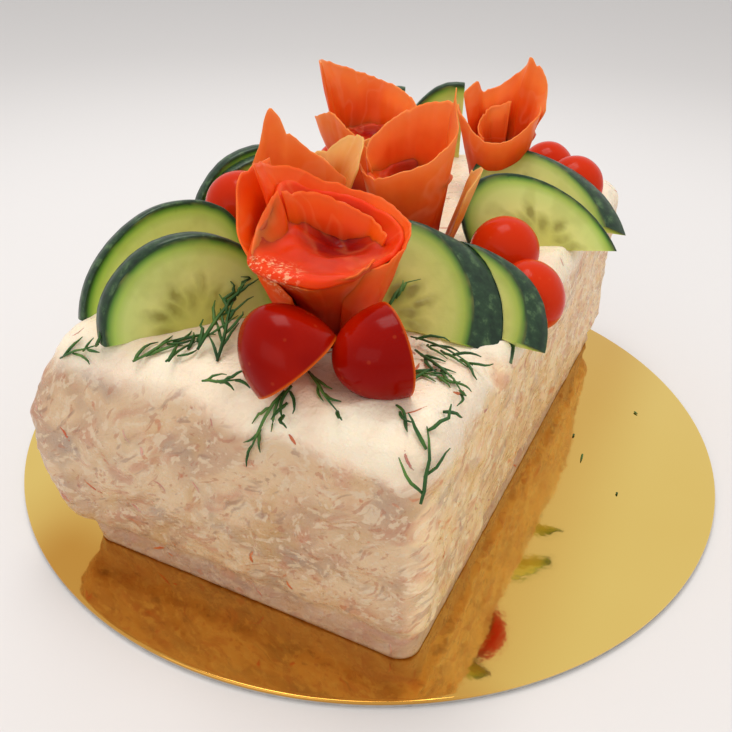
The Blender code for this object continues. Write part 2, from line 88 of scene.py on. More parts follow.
# Each rose: its place on the cream and its sheets of salmon. A sheet is the base radius, how
# late it flares out, and its rim as (direction in degrees, radius, height) points, in mm. They
# are as in the part, apart from the front rose's innermost sheet and a sheet of the middle one.
ROSES = {
    "rose_front": ((20, -67), (
        (9, 1.6, ((-80, 17, 24), (-40, 19, 27), (0, 19, 30), (45, 18, 32),
                  (90, 18, 35), (135, 19, 41), (178, 19, 46))),
        (8, 2.6, ((168, 15, 38), (200, 19, 31), (225, 24, 27), (252, 24, 25),
                  (275, 21, 26), (305, 17, 28))),
        (11, 1.2, ((140, 21, 43), (170, 23, 41), (195, 24, 33), (218, 22, 25), (240, 19, 18))),
        (5, 1.3, ((165, 13, 38), (120, 13, 35), (75, 13, 31.5), (35, 13, 29), (5, 13, 27))),
    )),
    "rose_left": ((-15, -33), (
        (7, 1.3, ((205, 13, 26), (228, 12, 36), (250, 10, 50), (285, 12, 43),
                  (320, 14, 36), (355, 16, 27))),
        (7, 1.2, ((10, 15, 26), (50, 15, 30), (95, 15, 28), (140, 14, 26), (190, 14, 24))),
        (12, 1.5, ((0, 21, 30), (25, 24, 37), (50, 22, 34), (75, 20, 28))),
    )),
    "rose_back_left": ((-19, 33), (
        (8, 1.4, ((198, 19, 51), (160, 17, 49), (120, 16, 45), (80, 16, 41), (40, 16, 37),
                  (5, 16, 33), (-35, 15, 26))),
        (8, 1.2, ((150, 21, 27), (180, 20, 31), (210, 16, 34), (235, 15, 30), (265, 16, 24))),
        (6, 1.6, ((240, 12, 24), (275, 12, 27), (310, 13, 25))),
    )),
    "rose_middle": ((15, -6), (
        (8, 1.3, ((178, 16, 29), (220, 17, 28), (258, 17, 32), (292, 16, 37), (325, 14, 44),
                  (356, 11, 53))),
        (6, 1.3, ((20, 12, 47), (60, 13, 46), (100, 14, 42), (140, 14, 36), (180, 14, 30))),
        (12, 1.4, ((-30, 18, 22), (-5, 21, 28), (20, 21, 25))),
    )),
    "rose_back_right": ((20, 68), (
        (8, 1.2, ((175, 17, 33), (205, 17, 30), (232, 17, 25), (256, 17, 23), (282, 16, 26),
                  (308, 15, 31), (335, 14, 34))),
        (7, 1.4, ((172, 15, 37), (145, 12, 40), (105, 13, 36), (65, 13, 42), (35, 11, 49),
                  (5, 14, 45), (-25, 15, 33))),
        (4, 1.3, ((60, 8, 33), (110, 8, 30), (170, 8, 27), (220, 9, 22))),
    )),
}
ROSE_SINK_MM = 2.5
# The lining of each rose's cup: the height of its middle, a fold and an outer line near the
# rim, both as (direction, radius, height) points in mm. The last point meets the first.
LININGS = {
    "rose_front": (21.0, (
        (-80, 10, 24.3), (-55, 9, 24), (-20, 10, 24), (10, 10, 24.5), (45, 10, 25),
        (80, 10, 25.5), (110, 10, 26), (140, 10, 27), (165, 11, 28), (185, 11, 28),
        (205, 12, 27), (225, 13, 26.5), (252, 13, 25.5), (280, 10, 24.3)), (
        (-80, 22, 26.6), (-55, 17.5, 26), (-20, 17.5, 27), (10, 18, 28.5), (45, 17, 30),
        (80, 17, 32), (110, 17.5, 34), (140, 18, 38), (165, 15.5, 37), (185, 17, 32.5),
        (205, 22, 31), (225, 26.5, 28.8), (252, 26.5, 27), (280, 22, 26.6))),
    "rose_left": (18.0, ((0, 8, 22), (120, 8, 22), (240, 8, 24), (360, 8, 22)),
                  ((0, 13, 21), (120, 13, 22), (240, 11, 23), (360, 13, 21))),
    "rose_back_left": (22.0, ((0, 8, 24), (120, 8, 25), (240, 8, 23), (360, 8, 24)),
                       ((0, 14, 24), (120, 14, 27), (240, 12, 22), (360, 14, 24))),
    "rose_middle": (19.0, ((0, 8, 25), (90, 8, 27), (180, 9, 24), (270, 9, 24), (360, 8, 25)),
                    ((0, 12, 26), (90, 13, 28), (180, 14, 26), (270, 14, 26), (360, 12, 26))),
    "rose_back_right": (13.0, ((0, 8, 20), (120, 8, 22), (240, 9, 18), (360, 8, 20)),
                        ((0, 13, 24), (120, 12, 25), (240, 14, 20), (360, 13, 24))),
}
# Sheets of paler, fatter salmon, by rose and number
PALE_SHEETS = (("rose_left", 2), ("rose_back_left", 2), ("rose_middle", 2))
SALMON_THICKNESS = 1.9 * MM
SALMON_RIM_SHARE = 0.2
SALMON_GRID_MM = 1.0

# Each cucumber slice, as in the part, but the outer right one's face stands 2 mm further back:
# middle of its cut edge (mm, height above the cream), direction of the cut edge and its rise in
# degrees, how far it leans back, then in mm half width, height, lean along the cut edge,
# thickness, and how far the far face is carried along.
SLICES = {
    "cucumber_left_outer": ((-33.1, -70.1, 0.9), 66.0, 0.6, 12.0, 27.1, 24.4, 6.6, 4.1, 0.0),
    "cucumber_left_inner": ((-13.1, -84.2, 0.9), 53.8, -1.3, 4.8, 24.8, 25.1, 0.0, 4.5, -1.0),
    "cucumber_right_inner": ((29.2, -58.1, 2.6), 15.0, -9.4, 50.7, 26.7, 31.6, 0.0, 5.6, 12.8),
    "cucumber_right_outer": ((42.5, -46.1, -0.6), 9.6, -4.5, 50.5, 25.4, 25.7, 0.0, 3.2, 5.9),
    "cucumber_back_lower": ((54.6, 17.3, 0.9), 30.0, -1.0, 22.0, 25.2, 23.9, -13.2, 4.7, 0.5),
    "cucumber_back_upper": ((44.0, 45.8, 0.9), 8.0, 0.0, 45.0, 25.6, 25.9, -12.2, 4.9, 7.1),
    "cucumber_side_lower": ((-39.6, -6.8, 0.9), 61.0, 0.0, 0.0, 25.4, 22.3, 0.0, 4.2, 0.0),
    "cucumber_side_upper": ((-43.6, -4.6, 0.9), 61.0, 0.0, 0.0, 26.0, 24.3, 0.0, 4.2, 0.0),
}
SLICE_SINK = 1.4 * MM
UPRIGHT_SLICES = {
    "cucumber_far_left": ((-29.5, 79.0), 24.0, 24.0, 32.0),
    "cucumber_far_right": ((-9.5, 96.0), 24.0, 24.0, 33.0),
}
UPRIGHT_THICKNESS_MM = 4.2
UPRIGHT_BELOW = 0.1
UPRIGHT_BESIDE = 0.12
SLICE_COLUMNS = 72
SLICE_ROWS = 26

# Each tomato half, as in the part: middle of its widest ring (mm, height above the cream), the
# way its dome points, radius, depth of the dome, and how far it goes on to its cut face.
TOMATOES = {
    "tomato_front_left": ((25.6, -95.6, 5.6), (-0.635, -0.113, 0.76), 12.0, 17.0, 0.0),
    "tomato_front_right": ((45.8, -83.8, 9.8), (-0.657, -0.746, -0.103), 11.9, 15.5, 0.0),
    "tomato_right_upper": ((46.8, -2.2, 4.5), (0.1, -0.2, 0.97), 11.2, 11.5, 5.5),
    "tomato_right_lower": ((61.5, -18.0, -0.5), (0.779, 0.2, 0.59), 11.2, 9.5, 1.5),
    "tomato_back_front": ((49.5, 78.0, 3.5), (0.15, -0.2, 0.96), 11.5, 11.5, 5.0),
    "tomato_back_rear": ((33.5, 96.0, 2.5), (0.1, -0.1, 0.98), 11.0, 11.5, 4.0),
    "tomato_left_front": ((-37.8, -26.5, 12.0), (-0.25, -0.1, 0.96), 11.8, 11.5, 10.5),
    "tomato_left_rear": ((-41.5, 52.0, 1.0), (-0.3, 0.1, 0.95), 11.2, 13.0, 2.0),
}

# Sprigs of dill: where each starts and ends (mm, heights over the cream's top), how many leaves
# it has, how long they are in mm, and how far they spread: 0 along the sprig, 1 wide.
SPRIGS = (
    # On the left end of the front
    ((-43, -104, -8), (-30, -104, 0), 5, 9, 0.6),
    ((-18, -105, -1), (-12, -90, 0), 6, 9, 0.4),
    ((-8, -104, 1), (-8, -90, 0), 4, 8, 0.5),
    # Beside the left tomato, up to the slice behind it
    ((2, -96, 0), (-4, -80, 10), 9, 10, 0.7),
    ((-4, -96, 2), (-4, -74, 11), 7, 10, 0.8),
    ((4, -105, 0), (12, -100, 0), 4, 7, 0.6),
    # Hanging down from under the left tomato
    ((24, -99, 0), (17, -105, -17), 5, 8, 0.4),
    ((25, -97, 0), (27, -105, -4), 3, 6, 0.5),
    # Between the tomatoes
    ((26, -91, 0), (40, -101, 0), 4, 8, 0.4),
    # Beside the right tomato, in front of the slice
    ((40, -60, 0), (60, -66, 0), 7, 11, 0.4),
    ((44, -66, 0), (62, -79, 0), 6, 9, 0.5),
    ((47, -76, 0), (57, -77, 0), 5, 7, 0.5),
    # On the front corner
    ((64, -106, -14), (60, -96, 0), 4, 11, 0.7),
    ((51, -93, 0), (56, -98, 0), 2, 5, 0.4),
    # Up the slice
    ((31, -56, 5), (34, -48, 10), 2, 6, 0.4),
    # At the back and the left side
    ((-36, 84, 0), (-24, 97, 0), 6, 9, 0.7),
    ((22, 95, 0), (8, 102, 0), 5, 9, 0.7),
    ((-52, 22, 0), (-44, 34, 0), 5, 9, 0.7),
    ((58, 46, 0), (62, 60, 0), 4, 8, 0.7),
)
# Single leaves, from and to
LOOSE_LEAVES = (
    ((61, -89, 0), (66, -89, 0)),
    ((62, -80, 0), (63, -85, 0)),
    ((50, -82, 0), (52, -73, 0)),
)
NEEDLE_WIDTH = 1.05 * MM
NEEDLE_LIFT = 0.45 * MM


def srgb(red, green, blue):
    """A colour given as 0 to 255 screen values, as the linear colour that shaders take."""
    values = [value / 255 for value in (red, green, blue)]
    return tuple(v / 12.92 if v <= 0.04045 else ((v + 0.055) / 1.055) ** 2.4 for v in values)


def smooth_step(low, high, value):
    t = min(1.0, max(0.0, (value - low) / (high - low)))
    return t * t * (3 - 2 * t)


def smooth_points(points, fraction):
    """The point at a fraction of the way along a smooth line through the given points."""
    spans = len(points) - 1
    place = min(fraction * spans, spans - 1e-9)
    index = int(place)
    t = place - index
    chosen = [points[min(max(index + k, 0), spans)] for k in (-1, 0, 1, 2)]
    return [0.5 * (2 * b + (c - a) * t + (2 * a - 5 * b + 4 * c - d) * t * t
                   + (3 * b - a - 3 * c + d) * t ** 3) for a, b, c, d in zip(*chosen)]


def on_top(x, y, height=0.0):
    """The point at a place in mm and a height in mm over the cream's top."""
    return Vector((x * MM, y * MM, CREAM_TOP + height * MM))


# Shader nodes

def fill(tree, target, inputs):
    """Set a node's inputs to values, or link them to other nodes' outputs."""
    for key, value in inputs.items():
        if isinstance(value, bpy.types.NodeSocket):
            tree.links.new(value, target.inputs[key])
        else:
            target.inputs[key].default_value = value


def node(tree, kind, inputs, **settings):
    made = tree.nodes.new("ShaderNode" + kind)
    for name, value in settings.items():
        setattr(made, name, value)
    fill(tree, made, inputs)
    return made


def new_material(name):
    """A new material, its node tree, its shader and the places that it is drawn on, in metres."""
    material = bpy.data.materials.new(name)
    material.use_nodes = True
    tree = material.node_tree
    place = node(tree, "TexCoord", {}).outputs["Object"]
    return material, tree, tree.nodes["Principled BSDF"], place


def ramp(tree, factor, stops):
    """A value turned into a colour by stops: a place and the colour's screen values."""
    made = node(tree, "ValToRGB", {"Fac": factor})
    elements = made.color_ramp.elements
    while len(elements) < len(stops):
        elements.new(0.5)
    for element, (place, colour) in zip(elements, stops):
        element.position = place
        element.color = (*srgb(*colour), 1)
    return made.outputs["Color"]


def mix(tree, factor, first, second, way="MIX"):
    colours = [c if isinstance(c, bpy.types.NodeSocket) else (*c, 1) for c in (first, second)]
    inputs = {0: factor, 6: colours[0], 7: colours[1]}
    return node(tree, "Mix", inputs, data_type="RGBA", blend_type=way).outputs[2]


def math_node(tree, operation, *values):
    return node(tree, "Math", dict(enumerate(values)), operation=operation).outputs[0]


def times(tree, first, second):
    return math_node(tree, "MULTIPLY", first, second)


def washed(tree, colour, where, share, other):
    """The colour, with a share of another one, in screen values, where the mask is 1."""
    return mix(tree, times(tree, where, share), colour, srgb(*other))


def vector_node(tree, operation, *values, **named):
    made = node(tree, "VectorMath", {**dict(enumerate(values)), **named}, operation=operation)
    return made.outputs["Value" if operation in ("DISTANCE", "LENGTH") else "Vector"]


def axis_of(tree, vector, axis):
    return node(tree, "SeparateXYZ", {0: vector}).outputs[axis]


def uv_map(tree, name):
    return node(tree, "UVMap", {}, uv_map=name).outputs["UV"]


def remap(tree, value, low, high, first, last, curve="LINEAR"):
    """A value between low and high turned into one between first and last, held past both."""
    inputs = {"Value": value, "From Min": low, "From Max": high, "To Min": first, "To Max": last}
    return node(tree, "MapRange", inputs, interpolation_type=curve).outputs["Result"]


def band(tree, value, low, high):
    """0 below the low value, 1 above the high one, smooth between them."""
    return remap(tree, value, low, high, 0.0, 1.0, "SMOOTHSTEP")


def noise_node(tree, vector, per_metre, detail=2.0, roughness=0.5, output="Fac"):
    inputs = {"Vector": vector, "Scale": per_metre, "Detail": detail, "Roughness": roughness}
    return node(tree, "TexNoise", inputs).outputs[output]


def stretched(tree, vector, turn, stretch):
    """Coordinates turned by Euler degrees and squeezed along x, so that noise runs that way."""
    angles = [math.radians(a) for a in turn]
    turned = node(tree, "Mapping", {"Vector": vector, "Rotation": angles}).outputs["Vector"]
    return vector_node(tree, "MULTIPLY", turned, (1 / stretch, 1, 1))


def shifted(tree, place, per_metre, distance):
    """Coordinates pushed about by soft noise, so that what is drawn on them wanders."""
    cloud = noise_node(tree, place, per_metre, output="Color")
    push = vector_node(tree, "SUBTRACT", cloud, (0.5, 0.5, 0.5))
    return vector_node(tree, "ADD", place, vector_node(tree, "SCALE", push, Scale=distance))


def dress(tree, shader, colour, roughness, specular=0.5, scatter=0.0, depths_mm=(1, 1, 1)):
    """Set the shader. Scattered light goes under the skin to a depth for red, green and blue."""
    fill(tree, shader, {"Base Color": colour, "Roughness": roughness,
                        "Specular IOR Level": specular})
    if scatter:
        fill(tree, shader, {"Subsurface Weight": scatter, "Subsurface Radius": depths_mm,
                            "Subsurface Scale": MM})


def bump(tree, shader, height, strength, distance_mm):
    made = node(tree, "Bump", {"Height": height, "Strength": strength,
                               "Distance": distance_mm * MM})
    fill(tree, shader, {"Normal": made.outputs["Normal"]})


# Streaks in the cream, from the broad and faint to the small and strong: turn in degrees,
# stretch, how many per metre, noise levels between which they fade in, how strong, colour.
CREAM_STREAKS = (
    ((20, 50, 10), 2.5, 60, (0.44, 0.66), 0.75, (220, 192, 172)),
    ((-30, 35, 60), 2.0, 75, (0.50, 0.72), 0.65, (190, 178, 176)),
    ((15, 48, 30), 3.0, 100, (0.50, 0.70), 0.6, (232, 200, 148)),
    ((35, 48, -20), 4.0, 150, (0.53, 0.70), 0.6, (226, 170, 148)),
    ((25, 55, -35), 9.0, 420, (0.53, 0.61), 0.85, (255, 244, 226)),
    ((20, 58, -25), 10.0, 500, (0.60, 0.66), 0.5, (206, 140, 112)),
    ((30, 42, -10), 7.0, 340, (0.60, 0.70), 0.5, (170, 136, 124)),
    ((10, 52, 75), 5.0, 210, (0.66, 0.73), 0.6, (224, 136, 92)),
    ((45, 40, -30), 3.0, 240, (0.70, 0.77), 0.6, (204, 112, 88)),
)
# Where the smooth cream of the top, and with it the top's unshaded colour, runs furthest down the
# faces, and how far it does so
LOW_CREAM_AT = LOAF_CENTRE + Vector((LOAF_WIDTH / 2, -LOAF_LENGTH / 2, LOAF_HEIGHT))
LOW_CREAM_DROP = 3 * MM
# Painted shade on the faces: how far their colour is darkened, at the front and left, and less on
# the right
FRONT_PAINTED_SHADE = (0.71, 0.59, 0.465)
RIGHT_PAINTED_SHADE = (0.97, 0.84, 0.64)


def cream_material():
    material, tree, shader, place = new_material("salmon cream")
    warped = shifted(tree, place, 45.0, 14 * MM)
    colour = mix(tree, band(tree, noise_node(tree, place, 50), 0.4, 0.62),
                 srgb(255, 237, 210), srgb(251, 227, 198))
    corner = band(tree, vector_node(tree, "DISTANCE", place, LOW_CREAM_AT), 60 * MM, 8 * MM)
    height = math_node(tree, "MULTIPLY_ADD", corner, LOW_CREAM_DROP, axis_of(tree, warped, "Z"))
    on_face = band(tree, height, CREAM_TOP - 5 * MM, CREAM_TOP - 13 * MM)
    strength = remap(tree, on_face, 0, 1, 0.10, 1.0)
    for turn, stretch, per_metre, (low, high), share, tint in CREAM_STREAKS:
        streak = noise_node(tree, stretched(tree, warped, turn, stretch), per_metre, 2.5, 0.55)
        where = times(tree, band(tree, streak, low, high), strength)
        colour = washed(tree, colour, where, share, tint)
    right = band(tree, axis_of(tree, place, "X"), 58 * MM, 64 * MM)
    # Painted shade: the faces are made darker than the top, the right face less so, as the light
    # falls.
    painted_shade = mix(tree, right, FRONT_PAINTED_SHADE, RIGHT_PAINTED_SHADE)
    colour = mix(tree, on_face, colour, painted_shade, "MULTIPLY")
    # Painted shade: the foot strip, in the shadow under the cream's overhang, is washed darker
    # and greyer.
    foot = band(tree, height, CARD_TOP + 11 * MM, CARD_TOP + 8 * MM)
    colour = washed(tree, colour, foot, 0.45, (186, 152, 140))
    wet = remap(tree, noise_node(tree, place, 260), 0.35, 0.7, 0.55, 0.14)
    dress(tree, shader, colour, wet, 0.55, 0.3, (3.0, 1.8, 1.2))
    grain = noise_node(tree, place, 900, 3.0, 0.6)
    smear = noise_node(tree, stretched(tree, warped, (35, 48, -20), 3.5), 420, 2.0, 0.55)
    bump(tree, shader, math_node(tree, "ADD", grain, smear), 0.8, 0.4)
    return material


# The middle of the torn patch on the front rose's lip. Its pale flecks are partly torn flesh and
# partly painted glints of light on the wet lip.
TORN_LIP = Vector((16.5, -92.5, 103.5)) * MM


def salmon_material(name, deep, middle, light, fat):
    """Smoked salmon: a sheet's UV map runs along it and, from foot to rim, up it."""
    material, tree, shader, place = new_material(name)
    up = axis_of(tree, uv_map(tree, "sheet"), "Y")
    cloud = noise_node(tree, place, 60, 3.0, 0.55)
    # Painted shade: the colour runs from deep red low on a sheet and in a rose's heart to light
    # at its rim, where shade falls in the rose's hollows and under its rims; the cloud gives the
    # salmon's own uneven reds.
    level = math_node(tree, "ADD", up, math_node(tree, "MULTIPLY_ADD", cloud, 0.5, -0.25))
    colour = ramp(tree, level, ((0.26, deep), (0.68, middle), (1.0, light)))
    wandering = shifted(tree, place, 55.0, 25 * MM)
    veins = noise_node(tree, stretched(tree, wandering, (20, 60, 15), 4.0), 75, 1.5, 0.4)
    lines = math_node(tree, "SUBTRACT", band(tree, veins, 0.55, 0.60),
                      band(tree, veins, 0.60, 0.66))
    colour = washed(tree, colour, lines, 0.11, fat)
    colour = washed(tree, colour, band(tree, up, 0.9, 1.0), 0.12, fat)
    torn_lip_and_glints = band(tree, vector_node(tree, "DISTANCE", place, TORN_LIP), 10 * MM, 6 * MM)
    flecks = band(tree, noise_node(tree, place, 800, 3.0, 0.7), 0.50, 0.64)
    # Pale flecks on the lip: torn flesh with painted glints.
    colour = washed(tree, colour, times(tree, torn_lip_and_glints, flecks), 0.75, (255, 196, 150))
    wet = remap(tree, noise_node(tree, place, 150), 0.35, 0.65, 0.55, 0.32)
    dress(tree, shader, colour, wet, 0.14, 0.55, (3.5, 0.9, 0.3))
    fibres = noise_node(tree, stretched(tree, place, (20, 40, 0), 3.0), 480, 3.0, 0.6)
    bump(tree, shader, fibres, 0.2, 0.25)
    return material


# Seeds on the cucumber's disc of radius 1: direction in degrees and distance from the middle
SEEDS_AROUND = ((12, 0.40), (30, 0.30), (41, 0.47), (62, 0.42), (83, 0.30), (101, 0.44),
                (122, 0.36), (148, 0.46), (163, 0.31), (186, 0.42), (204, 0.33), (226, 0.45),
                (251, 0.35), (270, 0.46), (291, 0.33), (312, 0.43), (338, 0.34))
SEED_SIZE = (0.105, 0.048, 1)
# The flesh from the middle to the skin, and the skin's own colours by its spots
FLESH = ((0.0, (214, 212, 108)), (0.3, (210, 210, 106)), (0.55, (222, 224, 134)),
         (0.78, (208, 220, 126)), (0.88, (174, 202, 88)), (0.945, (96, 146, 46)),
         (0.98, (36, 70, 32)))
SKIN = ((0.35, (20, 44, 26)), (0.55, (36, 64, 38)), (0.75, (84, 112, 70)))
# What the light on a slice that leans back is toned down by
LEANING_SHADE = (0.76, 0.69, 0.55)


def seed_distance(tree, disc):
    """How far a place is from the nearest seed, where 1 is a seed's outline."""
    nearest = None
    for degrees, reach in SEEDS_AROUND:
        angle = math.radians(degrees)
        inputs = {"Vector": disc, "Rotation": (0, 0, angle), "Scale": SEED_SIZE,
                  "Location": (reach * math.cos(angle), reach * math.sin(angle), 0)}
        own = node(tree, "Mapping", inputs, vector_type="TEXTURE").outputs["Vector"]
        away = vector_node(tree, "LENGTH", own)
        nearest = away if nearest is None else math_node(tree, "MINIMUM", nearest, away)
    return nearest


def cucumber_material():
    """Flesh by distance from the cucumber's middle: the UV map is a disc of radius 1."""
    material, tree, shader, place = new_material("cucumber")
    disc = uv_map(tree, "disc")
    flat = vector_node(tree, "MULTIPLY", shifted(tree, disc, 6.0, 0.12), (1, 1, 0))
    exact = vector_node(tree, "LENGTH", disc)
    wavy = math_node(tree, "SUBTRACT", vector_node(tree, "LENGTH", flat), 0.02)
    colour = ramp(tree, math_node(tree, "MAXIMUM", exact, wavy), FLESH)
    cloud = noise_node(tree, place, 130)
    colour = washed(tree, colour, band(tree, cloud, 0.45, 0.7), 0.3, (170, 176, 84))
    seeds = seed_distance(tree, flat)
    colour = washed(tree, colour, band(tree, seeds, 2.2, 1.0), 0.35, (160, 158, 66))
    strength = remap(tree, cloud, 0.4, 0.6, 0.1, 0.6)
    colour = washed(tree, colour, band(tree, seeds, 1.4, 0.4), strength, (136, 126, 44))
    facing = node(tree, "NewGeometry", {}).outputs["Normal"]
    leaning = band(tree, axis_of(tree, facing, "Z"), 0.3, 0.75)
    colour = mix(tree, leaning, colour, LEANING_SHADE, "MULTIPLY")
    skin = ramp(tree, noise_node(tree, place, 320, 3.0, 0.6), SKIN)
    colour = mix(tree, band(tree, exact, 0.985, 0.998), colour, skin)
    wet = remap(tree, noise_node(tree, place, 220), 0, 1, 0.45, 0.25)
    dress(tree, shader, colour, wet, 0.35, 0.4, (2.0, 2.2, 0.7))
    grain = times(tree, noise_node(tree, place, 700), 0.5)
    swell = times(tree, band(tree, seeds, 1.1, 0.4), 0.8)
    bump(tree, shader, math_node(tree, "ADD", grain, swell), 0.35, 0.25)
    return material


def tomato_material():
    """Tomatoes are darker at the front of the cake, and paler at a cut edge."""
    material, tree, shader, place = new_material("cherry tomato")
    low = axis_of(tree, uv_map(tree, "dome"), "Y")
    cloud = band(tree, noise_node(tree, place, 55), 0.35, 0.7)
    colour = mix(tree, cloud, srgb(140, 7, 0), srgb(162, 19, 1))
    further_back = band(tree, axis_of(tree, place, "Y"), -65 * MM, -20 * MM)
    colour = mix(tree, further_back, colour, srgb(206, 48, 10))
    colour = mix(tree, band(tree, low, 0.05, 0.0), colour, srgb(206, 92, 18))
    flecks = node(tree, "TexVoronoi", {"Vector": place, "Scale": 240.0}).outputs["Distance"]
    colour = washed(tree, colour, band(tree, flecks, 0.16, 0.06), 0.12, (226, 110, 60))
    dress(tree, shader, colour, 0.16, 0.08, 0.2, (2.0, 0.3, 0.1))
    bump(tree, shader, noise_node(tree, place, 320), 0.12, 0.15)
    return material


def distance_from_loaf(tree, place):
    """How far a place on the card is from the foot of the cream."""
    half = (LOAF_WIDTH / 2, LOAF_LENGTH / 2, 1)
    inward = vector_node(tree, "ABSOLUTE", vector_node(tree, "SUBTRACT", place, LOAF_CENTRE))
    outside = vector_node(tree, "SUBTRACT", inward, half)
    return vector_node(tree, "LENGTH", vector_node(tree, "MAXIMUM", outside, (0, 0, 0)))


def gold_material():
    """Gold foil, its colour painted deeper near the cream and in front of it: a painted
    reflection of the cream's shaded faces.
    """
    material, tree, shader, place = new_material("gold foil")
    colour = mix(tree, noise_node(tree, place, 14, 3.0), srgb(246, 214, 124),
                 srgb(240, 206, 114))
    # Painted reflection: deeper amber near the foot of the cream.
    close = band(tree, distance_from_loaf(tree, place), 42 * MM, 8 * MM)
    colour = washed(tree, colour, close, 0.55, (216, 160, 70))
    # Painted reflection: deeper amber in front of the cream's front face.
    front = times(tree, band(tree, axis_of(tree, place, "Y"), -92 * MM, -112 * MM),
                  band(tree, axis_of(tree, place, "X"), -72 * MM, -50 * MM))
    colour = washed(tree, colour, front, 0.8, (206, 146, 60))
    smudge = remap(tree, noise_node(tree, place, 40, 3.0, 0.6), 0, 1, 0.03, 0.10)
    dress(tree, shader, colour, smudge)
    fill(tree, shader, {"Metallic": 1.0})
    bump(tree, shader, noise_node(tree, place, 210), 0.10, 0.3)
    return material


def card_edge_material():
    material, tree, shader, place = new_material("card edge")
    fibres = noise_node(tree, place, 500, 3.0)
    dress(tree, shader, mix(tree, fibres, srgb(150, 146, 140), srgb(196, 192, 186)), 0.8)
    bump(tree, shader, fibres, 0.3, 0.1)
    return material


def dill_material():
    material, tree, shader, place = new_material("dill")
    colour = ramp(tree, noise_node(tree, place, 110),
                  ((0.3, (28, 66, 26)), (0.52, (50, 94, 38)), (0.75, (96, 134, 56))))
    dress(tree, shader, colour, 0.45, 0.3)
    bump(tree, shader, noise_node(tree, place, 1500), 0.3, 0.1)
    return material


def shred_material(name, first, second):
    material, tree, shader, place = new_material(name)
    cloud = band(tree, noise_node(tree, place, 160), 0.35, 0.65)
    dress(tree, shader, mix(tree, cloud, srgb(*first), srgb(*second)), 0.32, 0.5, 0.5,
          (2.5, 0.9, 0.5))
    bump(tree, shader, noise_node(tree, place, 900), 0.3, 0.15)
    return material


# Shapes


def object_from_bmesh(name, bm, *materials):
    bmesh.ops.recalc_face_normals(bm, faces=bm.faces)
    mesh = bpy.data.meshes.new(name)
    bm.to_mesh(mesh)
    bm.free()
    for material in materials:
        mesh.materials.append(material)
    mesh.shade_smooth()
    thing = bpy.data.objects.new(name, mesh)
    bpy.context.scene.collection.objects.link(thing)
    return thing


def bridge(bm, near, far, kind=0):
    """A closed band of faces between two rings of as many points."""
    following = zip(near[1:] + near[:1], far[1:] + far[:1])
    for first, last, (next_first, next_last) in zip(near, far, following):
        bm.faces.new((first, next_first, next_last, last)).material_index = kind


def lay_uv(bm, uv, place_of):
    for face in bm.faces:
        for loop in face.loops:
            loop[uv].uv = place_of(loop.vert)


def cut_off_below(bm, height):
    """Cut away what is below a height, and close the hole with one face."""
    bmesh.ops.bisect_plane(bm, geom=bm.verts[:] + bm.edges[:] + bm.faces[:],
                           plane_co=(0, 0, height), plane_no=(0, 0, 1), clear_inner=True)
    bmesh.ops.contextual_create(bm, geom=[edge for edge in bm.edges if edge.is_boundary])


def finished(thing, slot, *replaced):
    """Say what the piece rides on, and hide the parts that it stands for. The slot is not used.
    """
    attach(thing, "root")
    if replaced:
        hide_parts(*replaced)
    return thing


def apply_modifiers(thing):
    depsgraph = bpy.context.evaluated_depsgraph_get()
    mesh = bpy.data.meshes.new_from_object(thing.evaluated_get(depsgraph))
    thing.modifiers.clear()
    thing.data = mesh


def grown_copy(thing):
    """A cutter: the thing's shape with every point moved out a little along its normal."""
    bm = bmesh.new()
    bm.from_mesh(thing.data)
    bm.normal_update()
    shifts = [vert.normal * TRIM_GAP for vert in bm.verts]
    for vert, shift in zip(bm.verts, shifts):
        vert.co += shift
    return object_from_bmesh("cutter", bm, thing.data.materials[0])


def keep_largest_body(thing):
    """Drop the loose scraps that a cut leaves beside the main body."""
    bm = bmesh.new()
    bm.from_mesh(thing.data)
    unseen = set(bm.verts)
    bodies = []
    while unseen:
        body = [unseen.pop()]
        for vert in body:
            joined = {edge.other_vert(vert) for edge in vert.link_edges} & unseen
            unseen -= joined
            body.extend(joined)
        bodies.append(body)
    bodies.sort(key=len)
    for body in bodies[:-1]:
        bmesh.ops.delete(bm, geom=body, context="VERTS")
    bm.to_mesh(thing.data)
    bm.free()


def trim(thing, cutters):
    """Cut the thing back where earlier pieces stand, with a small gap between them."""
    own = surface_tree(thing)
    for cutter in cutters:
        if own.overlap(surface_tree(cutter)):
            boolean = thing.modifiers.new("Trim", "BOOLEAN")
            boolean.operation = "DIFFERENCE"
            boolean.object = cutter
            boolean.solver = "EXACT"
            apply_modifiers(thing)
            keep_largest_body(thing)


def surface_tree(*things):
    bm = bmesh.new()
    for thing in things:
        bm.from_mesh(thing.data)
    tree = BVHTree.FromBMesh(bm)
    bm.free()
    return tree


def cream_belly(point):
    """The cream sags out over the lower half, mostly at the left front corner."""
    left = min(1.0, max(0.0, 0.5 - point.x / LOAF_WIDTH))
    front = min(1.0, max(0.0, 0.5 - point.y / LOAF_LENGTH))
    level = point.z / LOAF_HEIGHT
    swell = smooth_step(-0.25, 0.56, level) * (1 - smooth_step(0.62, 1.02, level))
    return CREAM_BELLY * swell * left ** 1.4 * front ** 1.8


def foot_inset(height):
    """The lowest slice of bread stands in a little under the cream."""
    return FOOT_INSET * (1 - smooth_step(FOOT_HEIGHT, FOOT_HEIGHT * 1.6, height))


def cream_relief(point):
    """Low lumps, and streaks that run along the faces as a spatula leaves them."""
    lumps = noise.fractal(point * CREAM_LUMPS_PER_METRE, 0.9, 2.1, 2)
    streaks = noise.noise(point * CREAM_STREAKS_PER_METRE + Vector((7, 3, 1)))
    return CREAM_RELIEF * (0.8 * lumps + 0.7 * streaks)


